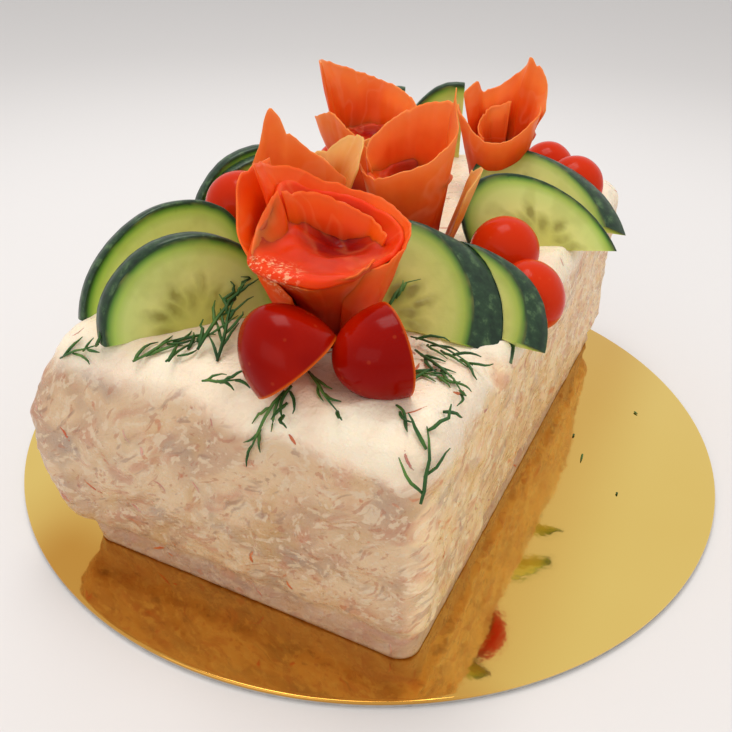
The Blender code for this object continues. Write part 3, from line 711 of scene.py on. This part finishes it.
SMEAR_TURN = Matrix.Rotation(math.radians(38), 3, "Y") @ Matrix.Rotation(math.radians(24), 3, "Z")
SMEAR_SCALE = Vector((60.0, 190.0, 190.0))
SMEAR_HEIGHT = 0.75 * MM
LUMP_HEIGHT = 0.55 * MM
GRAIN_HEIGHT = 0.16 * MM
FOLD_HEIGHT = 1.1 * MM
FOLDS_PER_METRE = 48.0


def near_top(point, start):
    """1 on the top of the block, and 0 below a share of its height."""
    return smooth_step(start * LOAF_HEIGHT, 0.95 * LOAF_HEIGHT, point.z)


def cream_detail(point):
    """What a knife leaves: slanting smears, small lumps and grains of chopped salmon."""
    wander = noise.noise_vector(point * 55.0) * 5 * MM
    smear = noise.fractal((SMEAR_TURN @ (point + wander)) * SMEAR_SCALE, 0.8, 2.0, 3)
    lump = noise.noise(point * 120.0 + Vector((3, 9, 5)))
    grain = noise.fractal(point * 420.0, 0.6, 2.0, 2)
    high = near_top(point, 0.75)
    fold = 1 - abs(2 * noise.noise(point * FOLDS_PER_METRE + wander * 40))
    detail = SMEAR_HEIGHT * smear * (1 - 0.6 * high) + GRAIN_HEIGHT * grain * (1 - 0.5 * high)
    return detail + LUMP_HEIGHT * max(0.0, lump) + FOLD_HEIGHT * fold ** 3 * high


# Dents in the cream where a slice lies in it: place on top, radius and depth, in mm
DENTS = (((57, -52), 17, 3.4), ((65, -40), 14, 2.5), ((42, -60), 12, 2.6), ((61, -55), 9, 5.0))


def dented(point):
    """How far the top is pressed down at a point of the block."""
    depth = 0.0
    for (x, y), radius, deepest in DENTS:
        away = (point + LOAF_CENTRE).xy - Vector((x, y)) * MM
        share = smooth_step(radius * MM, 0.4 * radius * MM, away.length)
        depth = max(depth, deepest * MM * share)
    return depth * near_top(point, 0.7)


def loaf_point(corner, below):
    """Map a point of the unit cube to the rounded block, then shape the cream on it."""
    half = Vector((LOAF_WIDTH / 2, LOAF_LENGTH / 2, (LOAF_HEIGHT + below) / 2))
    middle = Vector((0, 0, (LOAF_HEIGHT - below) / 2))
    flat = corner * half
    inner = Vector(max(-(size - LOAF_EDGE), min(size - LOAF_EDGE, value))
                   for size, value in zip(half, flat))
    outward = (flat - inner).normalized()
    point = middle + inner + outward * LOAF_EDGE
    point -= Vector((outward.x, outward.y, 0)) * foot_inset(point.z)
    point -= Vector((1, 1, 0)) * cream_belly(point)
    calm = smooth_step(0, FOOT_HEIGHT, point.z)
    fine = smooth_step(0, 2 * MM, point.z)
    shaped = point + outward * (cream_relief(point) * calm + cream_detail(point) * fine)
    return shaped - Vector((0, 0, dented(point)))


def gridded_cube(counts):
    """A cube from -1 to 1 whose faces are grids with the given number of steps."""
    bm = bmesh.new()
    made = {}

    def corner(key):
        if key not in made:
            made[key] = bm.verts.new([2 * k / count - 1 for k, count in zip(key, counts)])
        return made[key]

    for axis in range(3):
        u = (axis + 1) % 3
        v = (axis + 2) % 3
        for level in (0, counts[axis]):
            for i in range(counts[u]):
                for j in range(counts[v]):
                    corners = []
                    for di, dj in ((0, 0), (1, 0), (1, 1), (0, 1)):
                        key = [level] * 3
                        key[u] = i + di
                        key[v] = j + dj
                        corners.append(corner(tuple(key)))
                    bm.faces.new(corners)
    return bm


def build_loaf():
    """The block goes on below the card's top and is cut off flat there."""
    below = LOAF_EDGE * 1.5
    lengths = (LOAF_WIDTH, LOAF_LENGTH, LOAF_HEIGHT + below)
    bm = gridded_cube([round(length / CREAM_GRID) for length in lengths])
    for vert in bm.verts:
        vert.co = loaf_point(vert.co, below)
    cut_off_below(bm, 0)
    bmesh.ops.translate(bm, verts=bm.verts, vec=LOAF_CENTRE + Vector((0, 0, REST_GAP)))
    return object_from_bmesh("salmon_cream", bm, cream_material())


# Creases in the foil: from, to (mm), half width and depth in mm
CREASES = (
    ((84, -22), (129, 4), 1.2, 0.10),
    ((100, 27.6), (127, 33), 1.0, 0.07),
    ((-118, -20), (-90, -52), 1.4, 0.06),
    ((10, 121), (48, 112), 1.2, 0.07),
    ((-100, 60), (-70, 98), 1.5, 0.08),
)
CARD_RINGS = 74
CARD_SEGMENTS = 300
CARD_ROUNDING = 0.5 * MM
ROUNDING_STEPS = 4


def foil_height(x, y):
    """The foil isn't quite flat: broad waves and a few creases."""
    spot = Vector((x, y, 0))
    height = 0.10 * MM * noise.noise(spot * 22.0) + 0.035 * MM * noise.noise(spot * 75.0)
    for start, end, half_width, depth in CREASES:
        a = Vector(start) * MM
        run = Vector(end) * MM - a
        here = spot.xy - a
        t = here.dot(run) / run.length_squared
        if 0 < t < 1:
            wobble = 1.2 * MM * noise.noise(spot * 130.0)
            away = abs(here.dot(Vector((-run.y, run.x)).normalized()) + wobble)
            fade = math.sin(math.pi * t) ** 0.5
            height -= depth * MM * fade * max(0.0, 1 - away / (half_width * MM))
    return height * smooth_step(CARD_RADIUS, CARD_RADIUS - 6 * MM, spot.length)


def build_card():
    """A disc of foil-covered card: top rings, a rounded rim, the cut edge and the underside."""
    bm = bmesh.new()
    rings = [(CARD_RADIUS * (k / CARD_RINGS) ** 0.8, 0.0, 0) for k in range(1, CARD_RINGS)]
    rings = [ring for ring in rings if ring[0] < CARD_RADIUS - CARD_ROUNDING]
    for k in range(ROUNDING_STEPS + 1):
        angle = math.radians(90 - 90 * k / ROUNDING_STEPS)
        rings.append((CARD_RADIUS - CARD_ROUNDING * (1 - math.cos(angle)),
                      CARD_ROUNDING * (math.sin(angle) - 1), 0))
    bottom = -CARD_TOP / MM
    for inset, drop, kind in ((0.05, -1, 0), (0.25, -1.05, 1), (0.3, bottom + 0.2, 1),
                              (0.6, bottom, 1), (CARD_RADIUS / 2 / MM, bottom, 1)):
        rings.append((CARD_RADIUS - inset * MM, drop * MM, kind))
    loops = []
    for radius, drop, _ in rings:
        loop = []
        for s in range(CARD_SEGMENTS):
            angle = 2 * math.pi * s / CARD_SEGMENTS
            x = radius * math.cos(angle)
            y = radius * math.sin(angle)
            lift = foil_height(x, y) if drop == 0 else 0.0
            loop.append(bm.verts.new((x, y, CARD_TOP + drop + lift)))
        loops.append(loop)
    middle = bm.verts.new((0, 0, CARD_TOP + foil_height(0, 0)))
    for first, second in zip(loops[0], loops[0][1:] + loops[0][:1]):
        bm.faces.new((middle, first, second))
    for near, far, (_, _, kind) in zip(loops, loops[1:], rings[1:]):
        bridge(bm, near, far, kind)
    bm.faces.new(loops[-1]).material_index = 1
    card = object_from_bmesh("gold_foil_card", bm, gold_material(), card_edge_material())
    card.data.set_sharp_from_angle(angle=math.radians(50))
    return card


def skin(name, columns, material, middle=None):
    """A thickened surface from columns of points: each a place in mm, a thickness and a UV.

    With a middle point, the columns go all the way round it.
    """
    bm = bmesh.new()
    uv = bm.loops.layers.uv.new("sheet")
    weights = bm.verts.layers.deform.new()
    flat = {}

    def vertex(spot, thickness, place):
        vert = bm.verts.new([value * MM for value in spot])
        vert[weights][0] = thickness
        flat[vert] = place
        return vert

    grid = [[vertex(*point) for point in column] for column in columns]
    pairs = list(zip(grid, grid[1:]))
    if middle:
        pairs.append((grid[-1], grid[0]))
        centre = vertex(*middle)
        for left, right in pairs:
            bm.faces.new((centre, left[0], right[0]))
    for left, right in pairs:
        for j in range(len(left) - 1):
            bm.faces.new((left[j], left[j + 1], right[j + 1], right[j]))
    lay_uv(bm, uv, flat.get)
    sheet = object_from_bmesh(name, bm, material)
    sheet.vertex_groups.new(name="thickness")
    solid = sheet.modifiers.new("Thickness", "SOLIDIFY")
    solid.thickness = SALMON_THICKNESS
    solid.offset = 0
    solid.vertex_group = "thickness"
    solid.thickness_vertex_group = SALMON_RIM_SHARE
    apply_modifiers(sheet)
    return sheet


def salmon_sheet(name, seed, tear, base_radius, flare, rim, material):
    """One sheet of salmon on its narrow base: a rippled, torn rim and a thinner edge."""
    sweep = abs(rim[-1][0] - rim[0][0])
    widest = max(radius for _, radius, _ in rim)
    tallest = max(height for _, _, height in rim)
    columns = round(math.radians(sweep) * widest / SALMON_GRID_MM)
    rows = round((tallest + ROSE_SINK_MM) / SALMON_GRID_MM)
    shift = Vector((seed * 3.7, seed * 1.3, 0))

    def column(i):
        across = i / columns
        direction, radius, height = smooth_points(rim, across)
        turn = math.radians(direction + FRONT_CORNER_TURN)
        ragged = noise.fractal(Vector((across * sweep / 16, 0, 0)) + shift, 0.5, 2.3, 5)
        nick = max(0.0, noise.noise(Vector((across * sweep / 12, 5, 2)) + shift) - 0.3)
        height += tear * (0.8 * ragged - 5.0 * nick)
        side = min(1.0, min(i, columns - i) / 4)
        for j in range(rows + 1):
            up = j / rows
            spot = Vector((across * sweep / 34, up * 1.3, 0)) + shift
            fold = noise.noise(spot) * 1.6 * up + noise.noise(spot * 2.7) * 0.6 * up
            bulge = 0.9 * math.sin(math.pi * up ** 1.4)
            curl = smooth_step(0.82, 1.0, up) * (0.7 + 1.2 * noise.noise(spot * 0.7))
            reach = base_radius + (radius - base_radius) * up ** flare + fold + bulge + curl
            rise = -ROSE_SINK_MM + (height + ROSE_SINK_MM) * up
            thickness = min(1 - smooth_step(0.80, 1.0, up), side)
            yield (reach * math.cos(turn), reach * math.sin(turn), rise), thickness, (across, up)

    return skin(name, [column(i) for i in range(columns + 1)], material)


LINING_COLUMNS = 120
LINING_ROWS = 26
LINING_FOLD_AT = 0.6
LINING_THICKNESS = 0.7
# How far a broad lip curls down over the sheet below it
LIP_DROP_MM = 2.2
HEART_DIRECTION = 75
HEART_SHIFT_MM = 7
# How far up the colours of a sheet a lining starts, and how much further its rim goes: a heart
# that starts low on the run is painted shade deep in the rose
HEART_LIGHT = 0.1
FRONT_LINING_LIGHT = 0.62
LINING_LIGHT = 0.5


def rose_lining(name, seed, pit, fold_line, outer_line, material):
    """The inside of a rose: salmon that runs down from the rim into a small deep heart.

    The heart lies nearer to the back of the rose than to its front.
    """
    back = math.radians(HEART_DIRECTION + FRONT_CORNER_TURN)
    heart = Vector((math.cos(back), math.sin(back))) * HEART_SHIFT_MM
    light = FRONT_LINING_LIGHT if name == "rose_front_lining" else LINING_LIGHT
    shift = Vector((seed * 2.3, seed * 0.7, 4))

    def column(i):
        across = i / LINING_COLUMNS
        direction, fold_radius, fold_height = smooth_points(fold_line, across)
        _, outer_radius, outer_height = smooth_points(outer_line, across)
        turn = math.radians(direction + FRONT_CORNER_TURN)
        broad = smooth_step(18, 26, outer_radius)
        for j in range(1, LINING_ROWS + 1):
            s = j / LINING_ROWS
            if s < LINING_FOLD_AT:
                part = s / LINING_FOLD_AT
                reach = fold_radius * part
                rise = pit + (fold_height - pit) * part ** 1.9
            else:
                part = (s - LINING_FOLD_AT) / (1 - LINING_FOLD_AT)
                reach = fold_radius + (outer_radius - fold_radius) * part
                rise = fold_height + (outer_height - fold_height) * part
                rise -= 1.3 * math.sin(math.pi * part)
            rise -= LIP_DROP_MM * smooth_step(0.94, 1.0, s) * broad
            spot = Vector((math.cos(turn) * s * 1.7, math.sin(turn) * s * 1.7, 0)) + shift
            rise += noise.noise(spot) * 1.4 * s + noise.noise(spot * 3.3) * 0.4
            x = reach * math.cos(turn) + heart.x * (1 - s)
            y = reach * math.sin(turn) + heart.y * (1 - s)
            yield (x, y, rise), LINING_THICKNESS, (across, HEART_LIGHT + light * s)

    middle = ((*heart, pit), LINING_THICKNESS, (0.5, HEART_LIGHT))
    return skin(name, [column(i) for i in range(LINING_COLUMNS)], material, middle)


def join(name, things):
    """One object from several, with their materials and UV maps kept."""
    with bpy.context.temp_override(active_object=things[0], selected_editable_objects=things):
        bpy.ops.object.join()
    things[0].name = name
    things[0].data.name = name
    return things[0]


ROSE_FOOT_MM = 17
TEAR = 0.8
PALE_TEAR = 1.5


def build_rose(name, place, sheets, rng, material, pale):
    pieces = []
    for index, sheet in enumerate(sheets):
        is_pale = (name, index) in PALE_SHEETS
        pieces.append(salmon_sheet(f"{name}_{index}", rng.uniform(0, 50),
                                   PALE_TEAR if is_pale else TEAR, *sheet,
                                   pale if is_pale else material))
    pieces.append(rose_lining(name + "_lining", rng.uniform(0, 50), *LININGS[name], material))
    bm = bmesh.new()
    uv = bm.loops.layers.uv.new("sheet")
    bmesh.ops.create_cone(bm, cap_ends=True, segments=48, radius1=11 * MM, radius2=7 * MM,
                          depth=ROSE_FOOT_MM * MM)
    bmesh.ops.translate(bm, verts=bm.verts, vec=(0, 0, (ROSE_FOOT_MM / 2 - ROSE_SINK_MM) * MM))
    # The foot takes a deep red from low on the colour run: painted shade at the base of the rose.
    lay_uv(bm, uv, lambda vert: (0.5, 0.12))
    pieces.append(object_from_bmesh(name + "_foot", bm, material))
    rose = join("salmon_" + name, pieces)
    rose.data.transform(Matrix.Translation(on_top(*place)))
    return rose


# A slice's layers from its near face to its far one: how deep each lies as a share of the
# thickness, and how far the rim reaches there.
SLICE_LAYERS = ((0.0, 0.985), (-0.07, 1.0), (-0.5, 1.006), (-0.93, 1.0), (-1.0, 0.985))


def slice_mesh(name, axes, centre, low, start, rng, material):
    """A slice of cucumber on a unit disc, laid out by three axes: along, up and through.

    low is how far it goes on below the disc's middle, and start the angle at the right where
    its rim begins.
    """
    bm = bmesh.new()
    uv = bm.loops.layers.uv.new("disc")
    shift = Vector((rng.uniform(0, 90), 0, 0))
    spin = Matrix.Rotation(math.radians(rng.uniform(0, 360)), 2)
    flat = {}

    def vertex(i, j, depth, inset):
        theta = start + (math.pi - start) * i / SLICE_COLUMNS
        wobble = 1 + 0.012 * noise.noise(Vector((theta * 2.2, 0, 0)) + shift)
        wobble += 0.005 * noise.noise(Vector((theta * 9, 3, 0)) + shift)
        x = math.cos(theta)
        y = -low + (j / SLICE_ROWS) ** 0.8 * (math.sin(theta) + low)
        bow = 0.05 * noise.noise(Vector((x * 1.3, y * 1.3, 0)) + shift)
        near_rim = smooth_step(0.9, 1.0, math.hypot(x, max(0.0, y)))
        reach = wobble * (1 - (1 - inset) * near_rim)
        vert = bm.verts.new((x * reach, y * reach, depth + bow))
        flat[vert] = spin @ Vector((x, y))
        return vert

    outline = [(i, SLICE_ROWS) for i in range(SLICE_COLUMNS + 1)]
    outline += [(SLICE_COLUMNS, j) for j in range(SLICE_ROWS - 1, -1, -1)]
    outline += [(i, 0) for i in range(SLICE_COLUMNS - 1, -1, -1)]
    outline += [(0, j) for j in range(1, SLICE_ROWS)]
    whole = [(i, j) for i in range(SLICE_COLUMNS + 1) for j in range(SLICE_ROWS + 1)]
    cut_faces = (SLICE_LAYERS[0], SLICE_LAYERS[-1])
    layers = [{key: vertex(*key, *layer) for key in (whole if layer in cut_faces else outline)}
              for layer in SLICE_LAYERS]
    for layer in (layers[0], layers[-1]):
        for i in range(SLICE_COLUMNS):
            for j in range(SLICE_ROWS):
                keys = ((i, j), (i + 1, j), (i + 1, j + 1), (i, j + 1))
                bm.faces.new([layer[key] for key in keys])
    for near, far in zip(layers, layers[1:]):
        bridge(bm, [near[key] for key in outline], [far[key] for key in outline])
    lay_uv(bm, uv, flat.get)
    bmesh.ops.remove_doubles(bm, verts=bm.verts, dist=1e-5)
    bm.transform(axes.to_4x4())
    bmesh.ops.translate(bm, verts=bm.verts, vec=centre)
    thing = object_from_bmesh(name, bm, material)
    thing.data.set_sharp_from_angle(angle=math.radians(60))
    return thing


def build_slice(name, place, heading, rise, lean, half_width, height, skew, thickness, shift,
                rng, material):
    """Half a round slice standing on its cut edge."""
    turn, slope, tilt = (math.radians(degrees) for degrees in (heading, rise, lean))
    along = Vector((math.cos(turn) * math.cos(slope), math.sin(turn) * math.cos(slope),
                    math.sin(slope)))
    upright = (UP - along * along.z).normalized()
    facing = along.cross(upright)
    up = upright * math.cos(tilt) - facing * math.sin(tilt)
    face = facing * math.cos(tilt) + upright * math.sin(tilt)
    through = face * thickness - along * shift
    axes = Matrix((along * half_width, up * height + along * skew, through)).transposed() * MM
    low = SLICE_SINK / (height * MM)
    return slice_mesh(name, axes, on_top(*place), low, 0.0, rng, material)


def build_upright_slice(name, foot, heading, half_width, height, rng, material):
    """A quarter slice: it stands on one cut edge, with the other upright at its right."""
    turn = math.radians(heading)
    along = Vector((math.cos(turn), math.sin(turn), 0))
    away = Vector((-along.y, along.x, 0)) * UPRIGHT_THICKNESS_MM
    axes = Matrix((along * half_width, UP * height, -away)).transposed() * MM
    return slice_mesh(name, axes, on_top(*foot) - away / 2 * MM, UPRIGHT_BELOW,
                      math.acos(UPRIGHT_BESIDE), rng, material)


def build_tomato(name, place, dome, radius, depth, beyond, material):
    """A halved cherry tomato: a stretched ball cut off flat, with a slightly uneven skin."""
    bm = bmesh.new()
    bmesh.ops.create_uvsphere(bm, u_segments=72, v_segments=48, radius=1)
    cut = min(0.98, beyond / depth)
    cut_off_below(bm, -cut)
    uv = bm.loops.layers.uv.new("dome")
    lay_uv(bm, uv, lambda vert: (math.atan2(vert.co.y, vert.co.x) / math.tau + 0.5,
                                 (vert.co.z + cut) / (1 + cut)))
    for vert in bm.verts:
        swell = 1 + 0.012 * noise.noise(vert.co * 1.7 + Vector(place))
        vert.co = vert.co * Vector((radius, radius, depth)) * MM * swell
    bm.transform(Vector(dome).to_track_quat("Z", "Y").to_matrix().to_4x4())
    bmesh.ops.translate(bm, verts=bm.verts, vec=on_top(*place))
    thing = object_from_bmesh(name, bm, material)
    thing.data.set_sharp_from_angle(angle=math.radians(50))
    return thing


def add_strand(bm, points, widths, height_share, sides, over):
    """A strand through the points, its section an oval that lies flat to the over direction."""
    rings = []
    last = len(points) - 1
    for index, point in enumerate(points):
        ahead = (points[min(index + 1, last)] - points[max(index - 1, 0)]).normalized()
        side = ahead.cross(over).normalized()
        rise = side.cross(ahead)
        half = widths[index] / 2
        rings.append([bm.verts.new(point + side * math.cos(a) * half
                                   + rise * math.sin(a) * half * height_share)
                      for a in (2 * math.pi * k / sides for k in range(sides))])
    for near, far in zip(rings, rings[1:]):
        bridge(bm, near, far)
    bm.faces.new(rings[0])
    bm.faces.new(rings[-1])


SHRED_COUNT = 190
SHRED_STEPS = 7
SHRED_SLANT = Vector((0.45, 0.5, -0.75))
ORANGE_SHARE = 0.3


def build_shreds(loaf, rng):
    """Shreds of salmon that show in the cream, most of each sunk in it."""
    faces = loaf.data.polygons
    tree = surface_tree(loaf)
    picked = rng.choices(range(len(faces)), weights=[face.area for face in faces], k=SHRED_COUNT)
    orange = bmesh.new()
    pink = bmesh.new()
    for index in picked:
        face = faces[index]
        if face.center.z < CARD_TOP + 2 * MM:
            continue
        normal = face.normal.copy()
        slant = SHRED_SLANT + Vector(rng.gauss(0, 0.45) for _ in range(3))
        run = (slant - normal * slant.dot(normal)).normalized()
        length = rng.uniform(2.5, 8.0) * MM
        width = rng.uniform(0.6, 1.5) * MM
        bend = normal.cross(run) * rng.uniform(-0.18, 0.18) * length
        points = []
        widths = []
        for step in range(SHRED_STEPS):
            t = step / (SHRED_STEPS - 1)
            guess = face.center + run * length * (t - 0.5) + bend * math.sin(math.pi * t)
            point, over, _, _ = tree.find_nearest(guess)
            points.append(point - over * width * 0.16)
            widths.append(width * (0.15 + 0.85 * math.sin(math.pi * (0.06 + 0.88 * t)) ** 0.7))
        bm = orange if rng.random() < ORANGE_SHARE else pink
        add_strand(bm, points, widths, 0.5, 8, normal)
    for name, bm, first, second in (("orange", orange, (224, 122, 70), (206, 92, 50)),
                                    ("pink", pink, (224, 160, 138), (206, 122, 104))):
        piece = "salmon_shreds" if bm is orange else "pink_shreds"
        material = shred_material(name + " shred", first, second)
        finished(object_from_bmesh(piece, bm, material), "salmon")


NEEDLE_STEPS = 6
NEEDLE_TAPER = (0.75, 1.0, 1.0, 0.85, 0.6, 0.3)


class Dill:
    """Sprigs of dill laid over whatever lies below them, gathered in one mesh."""

    def __init__(self, loaf, toppings, rng):
        self.cream = surface_tree(loaf)
        self.toppings = surface_tree(*toppings)
        self.rng = rng
        self.bm = bmesh.new()

    def outside(self, point):
        """The point itself, or the nearest one outside a topping that it would be in."""
        spot, normal, _, away = self.toppings.find_nearest(point)
        if (point - spot).dot(normal) < 0 and away < 8 * MM:
            return spot + normal * 0.4 * MM
        return point

    def needle(self, start, end, sideways):
        """A bent needle between two places in mm, kept on the outside of the cake."""
        start = on_top(*start)
        end = on_top(*end)
        run = (end - start).normalized()
        across = Vector((-run.y, run.x, 0)) * sideways * MM
        length = (end - start).length
        points = []
        for step in range(NEEDLE_STEPS):
            t = step / (NEEDLE_STEPS - 1)
            arch = math.sin(math.pi * t)
            spot = start.lerp(end, t) + across * arch
            hit, normal, _, _ = self.cream.find_nearest(spot)
            lift = max((spot - hit).dot(normal), NEEDLE_LIFT) + 0.06 * length * arch
            points.append(self.outside(hit + normal * lift))
        thick = NEEDLE_WIDTH * self.rng.uniform(0.75, 1.1)
        add_strand(self.bm, points, [thick * share for share in NEEDLE_TAPER], 0.8, 5,
                   Vector((0.1, 0.2, 1)))

    def sprig(self, start, end, count, length, spread):
        """A stem with leaves that leave it by turns to the left and the right."""
        rng = self.rng
        root = Vector(start)
        run = Vector(end) - root
        self.needle(root, root + run, rng.uniform(-1.5, 1.5))
        _, normal, _, _ = self.cream.find_nearest(on_top(*root))
        onward = run.normalized()
        across = onward.cross(normal).normalized()
        for index in range(count):
            t = (index + rng.uniform(0.2, 0.8)) / count
            side = spread * rng.uniform(0.5, 1.2) * (1 if index % 2 else -1)
            heading = (onward + across * side + normal * rng.uniform(0, 0.2)).normalized()
            foot = root + run * t
            reach = length * rng.uniform(0.7, 1.1) * (1.1 - 0.4 * t)
            self.needle(foot, foot + heading * reach, rng.uniform(-1.5, 1.5))


# Crumbs of dill on the card: place and length in mm
BOARD_CRUMBS = ((82, 14, 4.5), (94, 52, 1.8), (76, 25, 1.6), (98, -2, 1.2))


def build_dill(loaf, toppings, rng):
    dill = Dill(loaf, toppings, rng)
    for sprig in SPRIGS:
        dill.sprig(*sprig)
    for start, end in LOOSE_LEAVES:
        dill.needle(start, end, rng.uniform(-1, 1))
    for x, y, length in BOARD_CRUMBS:
        heading = Vector((rng.uniform(-1, 1), rng.uniform(-1, 1), 0)).normalized()
        start = Vector((x * MM, y * MM, CARD_TOP + 0.4 * MM))
        points = [start + heading * length * MM * t for t in (0, 0.3, 0.6, 1)]
        add_strand(dill.bm, points, [width * MM for width in (0.7, 0.9, 0.7, 0.3)], 0.7, 5, UP)
    return object_from_bmesh("dill_sprigs", dill.bm, dill_material())


# Stage, lights and camera

def build_stage():
    bm = bmesh.new()
    bmesh.ops.create_circle(bm, cap_ends=True, segments=96, radius=6.0)
    material, tree, shader, place = new_material("pale floor")
    away = vector_node(tree, "LENGTH", place)
    # Painted shade: the floor is darker further from the middle, as the light falls off.
    colour = mix(tree, band(tree, away, 0.3, 0.85), srgb(229, 226, 225), srgb(214, 211, 210))
    dress(tree, shader, colour, 0.7, 0.2)
    object_from_bmesh("floor", bm, material)


LAMP_COLOUR = (1.0, 0.98, 0.95)
LAMP_AIM = Vector((0, 0, 0.06))


def add_area(name, place, size, watts):
    light = bpy.data.lights.new(name, "AREA")
    light.shape = "RECTANGLE"
    light.size, light.size_y = size
    light.energy = watts
    light.color = LAMP_COLOUR
    lamp = bpy.data.objects.new(name, light)
    lamp.location = place
    lamp.rotation_euler = (LAMP_AIM - Vector(place)).to_track_quat("-Z", "Y").to_euler()
    bpy.context.scene.collection.objects.link(lamp)


def light_scene():
    world = bpy.data.worlds.new("studio")
    world.use_nodes = True
    background = world.node_tree.nodes["Background"]
    background.inputs["Color"].default_value = (1.0, 0.99, 0.98, 1)
    background.inputs["Strength"].default_value = 0.8
    bpy.context.scene.world = world
    add_area("overhead", (-0.12, 0.12, 1.0), (0.45, 0.45), 3.8)
    add_area("front", (-0.1, -1.0, 0.5), (0.8, 0.5), 1.3)
    bpy.context.scene.view_settings.view_transform = "Standard"


def add_camera():
    """The camera looks level along +Y at first, and is then rolled, pitched and turned."""
    camera = bpy.data.cameras.new("camera")
    camera.sensor_width = SENSOR_MM
    camera.lens = FOCAL_PIXELS / PHOTO_SIDE * SENSOR_MM
    camera.clip_start = 0.01
    thing = bpy.data.objects.new("camera", camera)
    place = Vector((0, -CAMERA_FROM_MIDDLE * CARD_RADIUS,
                    CAMERA_ABOVE_CARD * CARD_RADIUS + CARD_TOP))
    matrix = Matrix.Rotation(math.radians(CAMERA_TURN), 4, "Z") @ Matrix.Translation(place)
    for degrees, axis in ((-CAMERA_YAW, "Z"), (90 - CAMERA_PITCH, "X"), (CAMERA_ROLL, "Z")):
        matrix = matrix @ Matrix.Rotation(math.radians(degrees), 4, axis)
    thing.matrix_world = matrix
    bpy.context.scene.collection.objects.link(thing)
    bpy.context.scene.camera = thing


RANDOM_SEED = 11


def main():
    add_camera()
    light_scene()
    build_stage()
    noise.seed_set(RANDOM_SEED)
    rng = random.Random(RANDOM_SEED)
    orange = salmon_material("orange salmon", (132, 6, 0), (230, 56, 2), (244, 88, 8),
                             (250, 158, 96))
    coral = salmon_material("coral salmon", (150, 12, 1), (228, 84, 14), (246, 126, 48),
                            (250, 176, 130))
    pale = salmon_material("pale salmon", (196, 80, 16), (222, 128, 44), (228, 168, 92),
                           (244, 206, 150))
    cucumber = cucumber_material()
    tomato = tomato_material()
    finished(build_card(), "gold_foil", "gold_card")
    loaf = finished(build_loaf(), "cream", "cream_loaf")
    toppings = []
    for name, (place, sheets) in ROSES.items():
        salmon = orange if name == "rose_front" else coral
        rose = build_rose(name, place, sheets, rng, salmon, pale)
        toppings.append(finished(rose, "salmon", name))
    cutters = []

    def seat(piece, slot, name):
        """Trim a piece by those before it, and keep its own untrimmed shape for the next."""
        cutter = grown_copy(piece)
        trim(piece, cutters)
        cutters.append(cutter)
        toppings.append(finished(piece, slot, name))

    for name, values in TOMATOES.items():
        seat(build_tomato("fresh_" + name, *values, tomato), "tomato", name)
    for name, values in SLICES.items():
        seat(build_slice("fresh_" + name, *values, rng, cucumber), "cucumber", name)
    for name, values in UPRIGHT_SLICES.items():
        seat(build_upright_slice("fresh_" + name, *values, rng, cucumber), "cucumber", name)
    for cutter in cutters:
        bpy.data.objects.remove(cutter, do_unlink=True)
    build_shreds(loaf, rng)
    finished(build_dill(loaf, toppings, rng), "cream")


main()
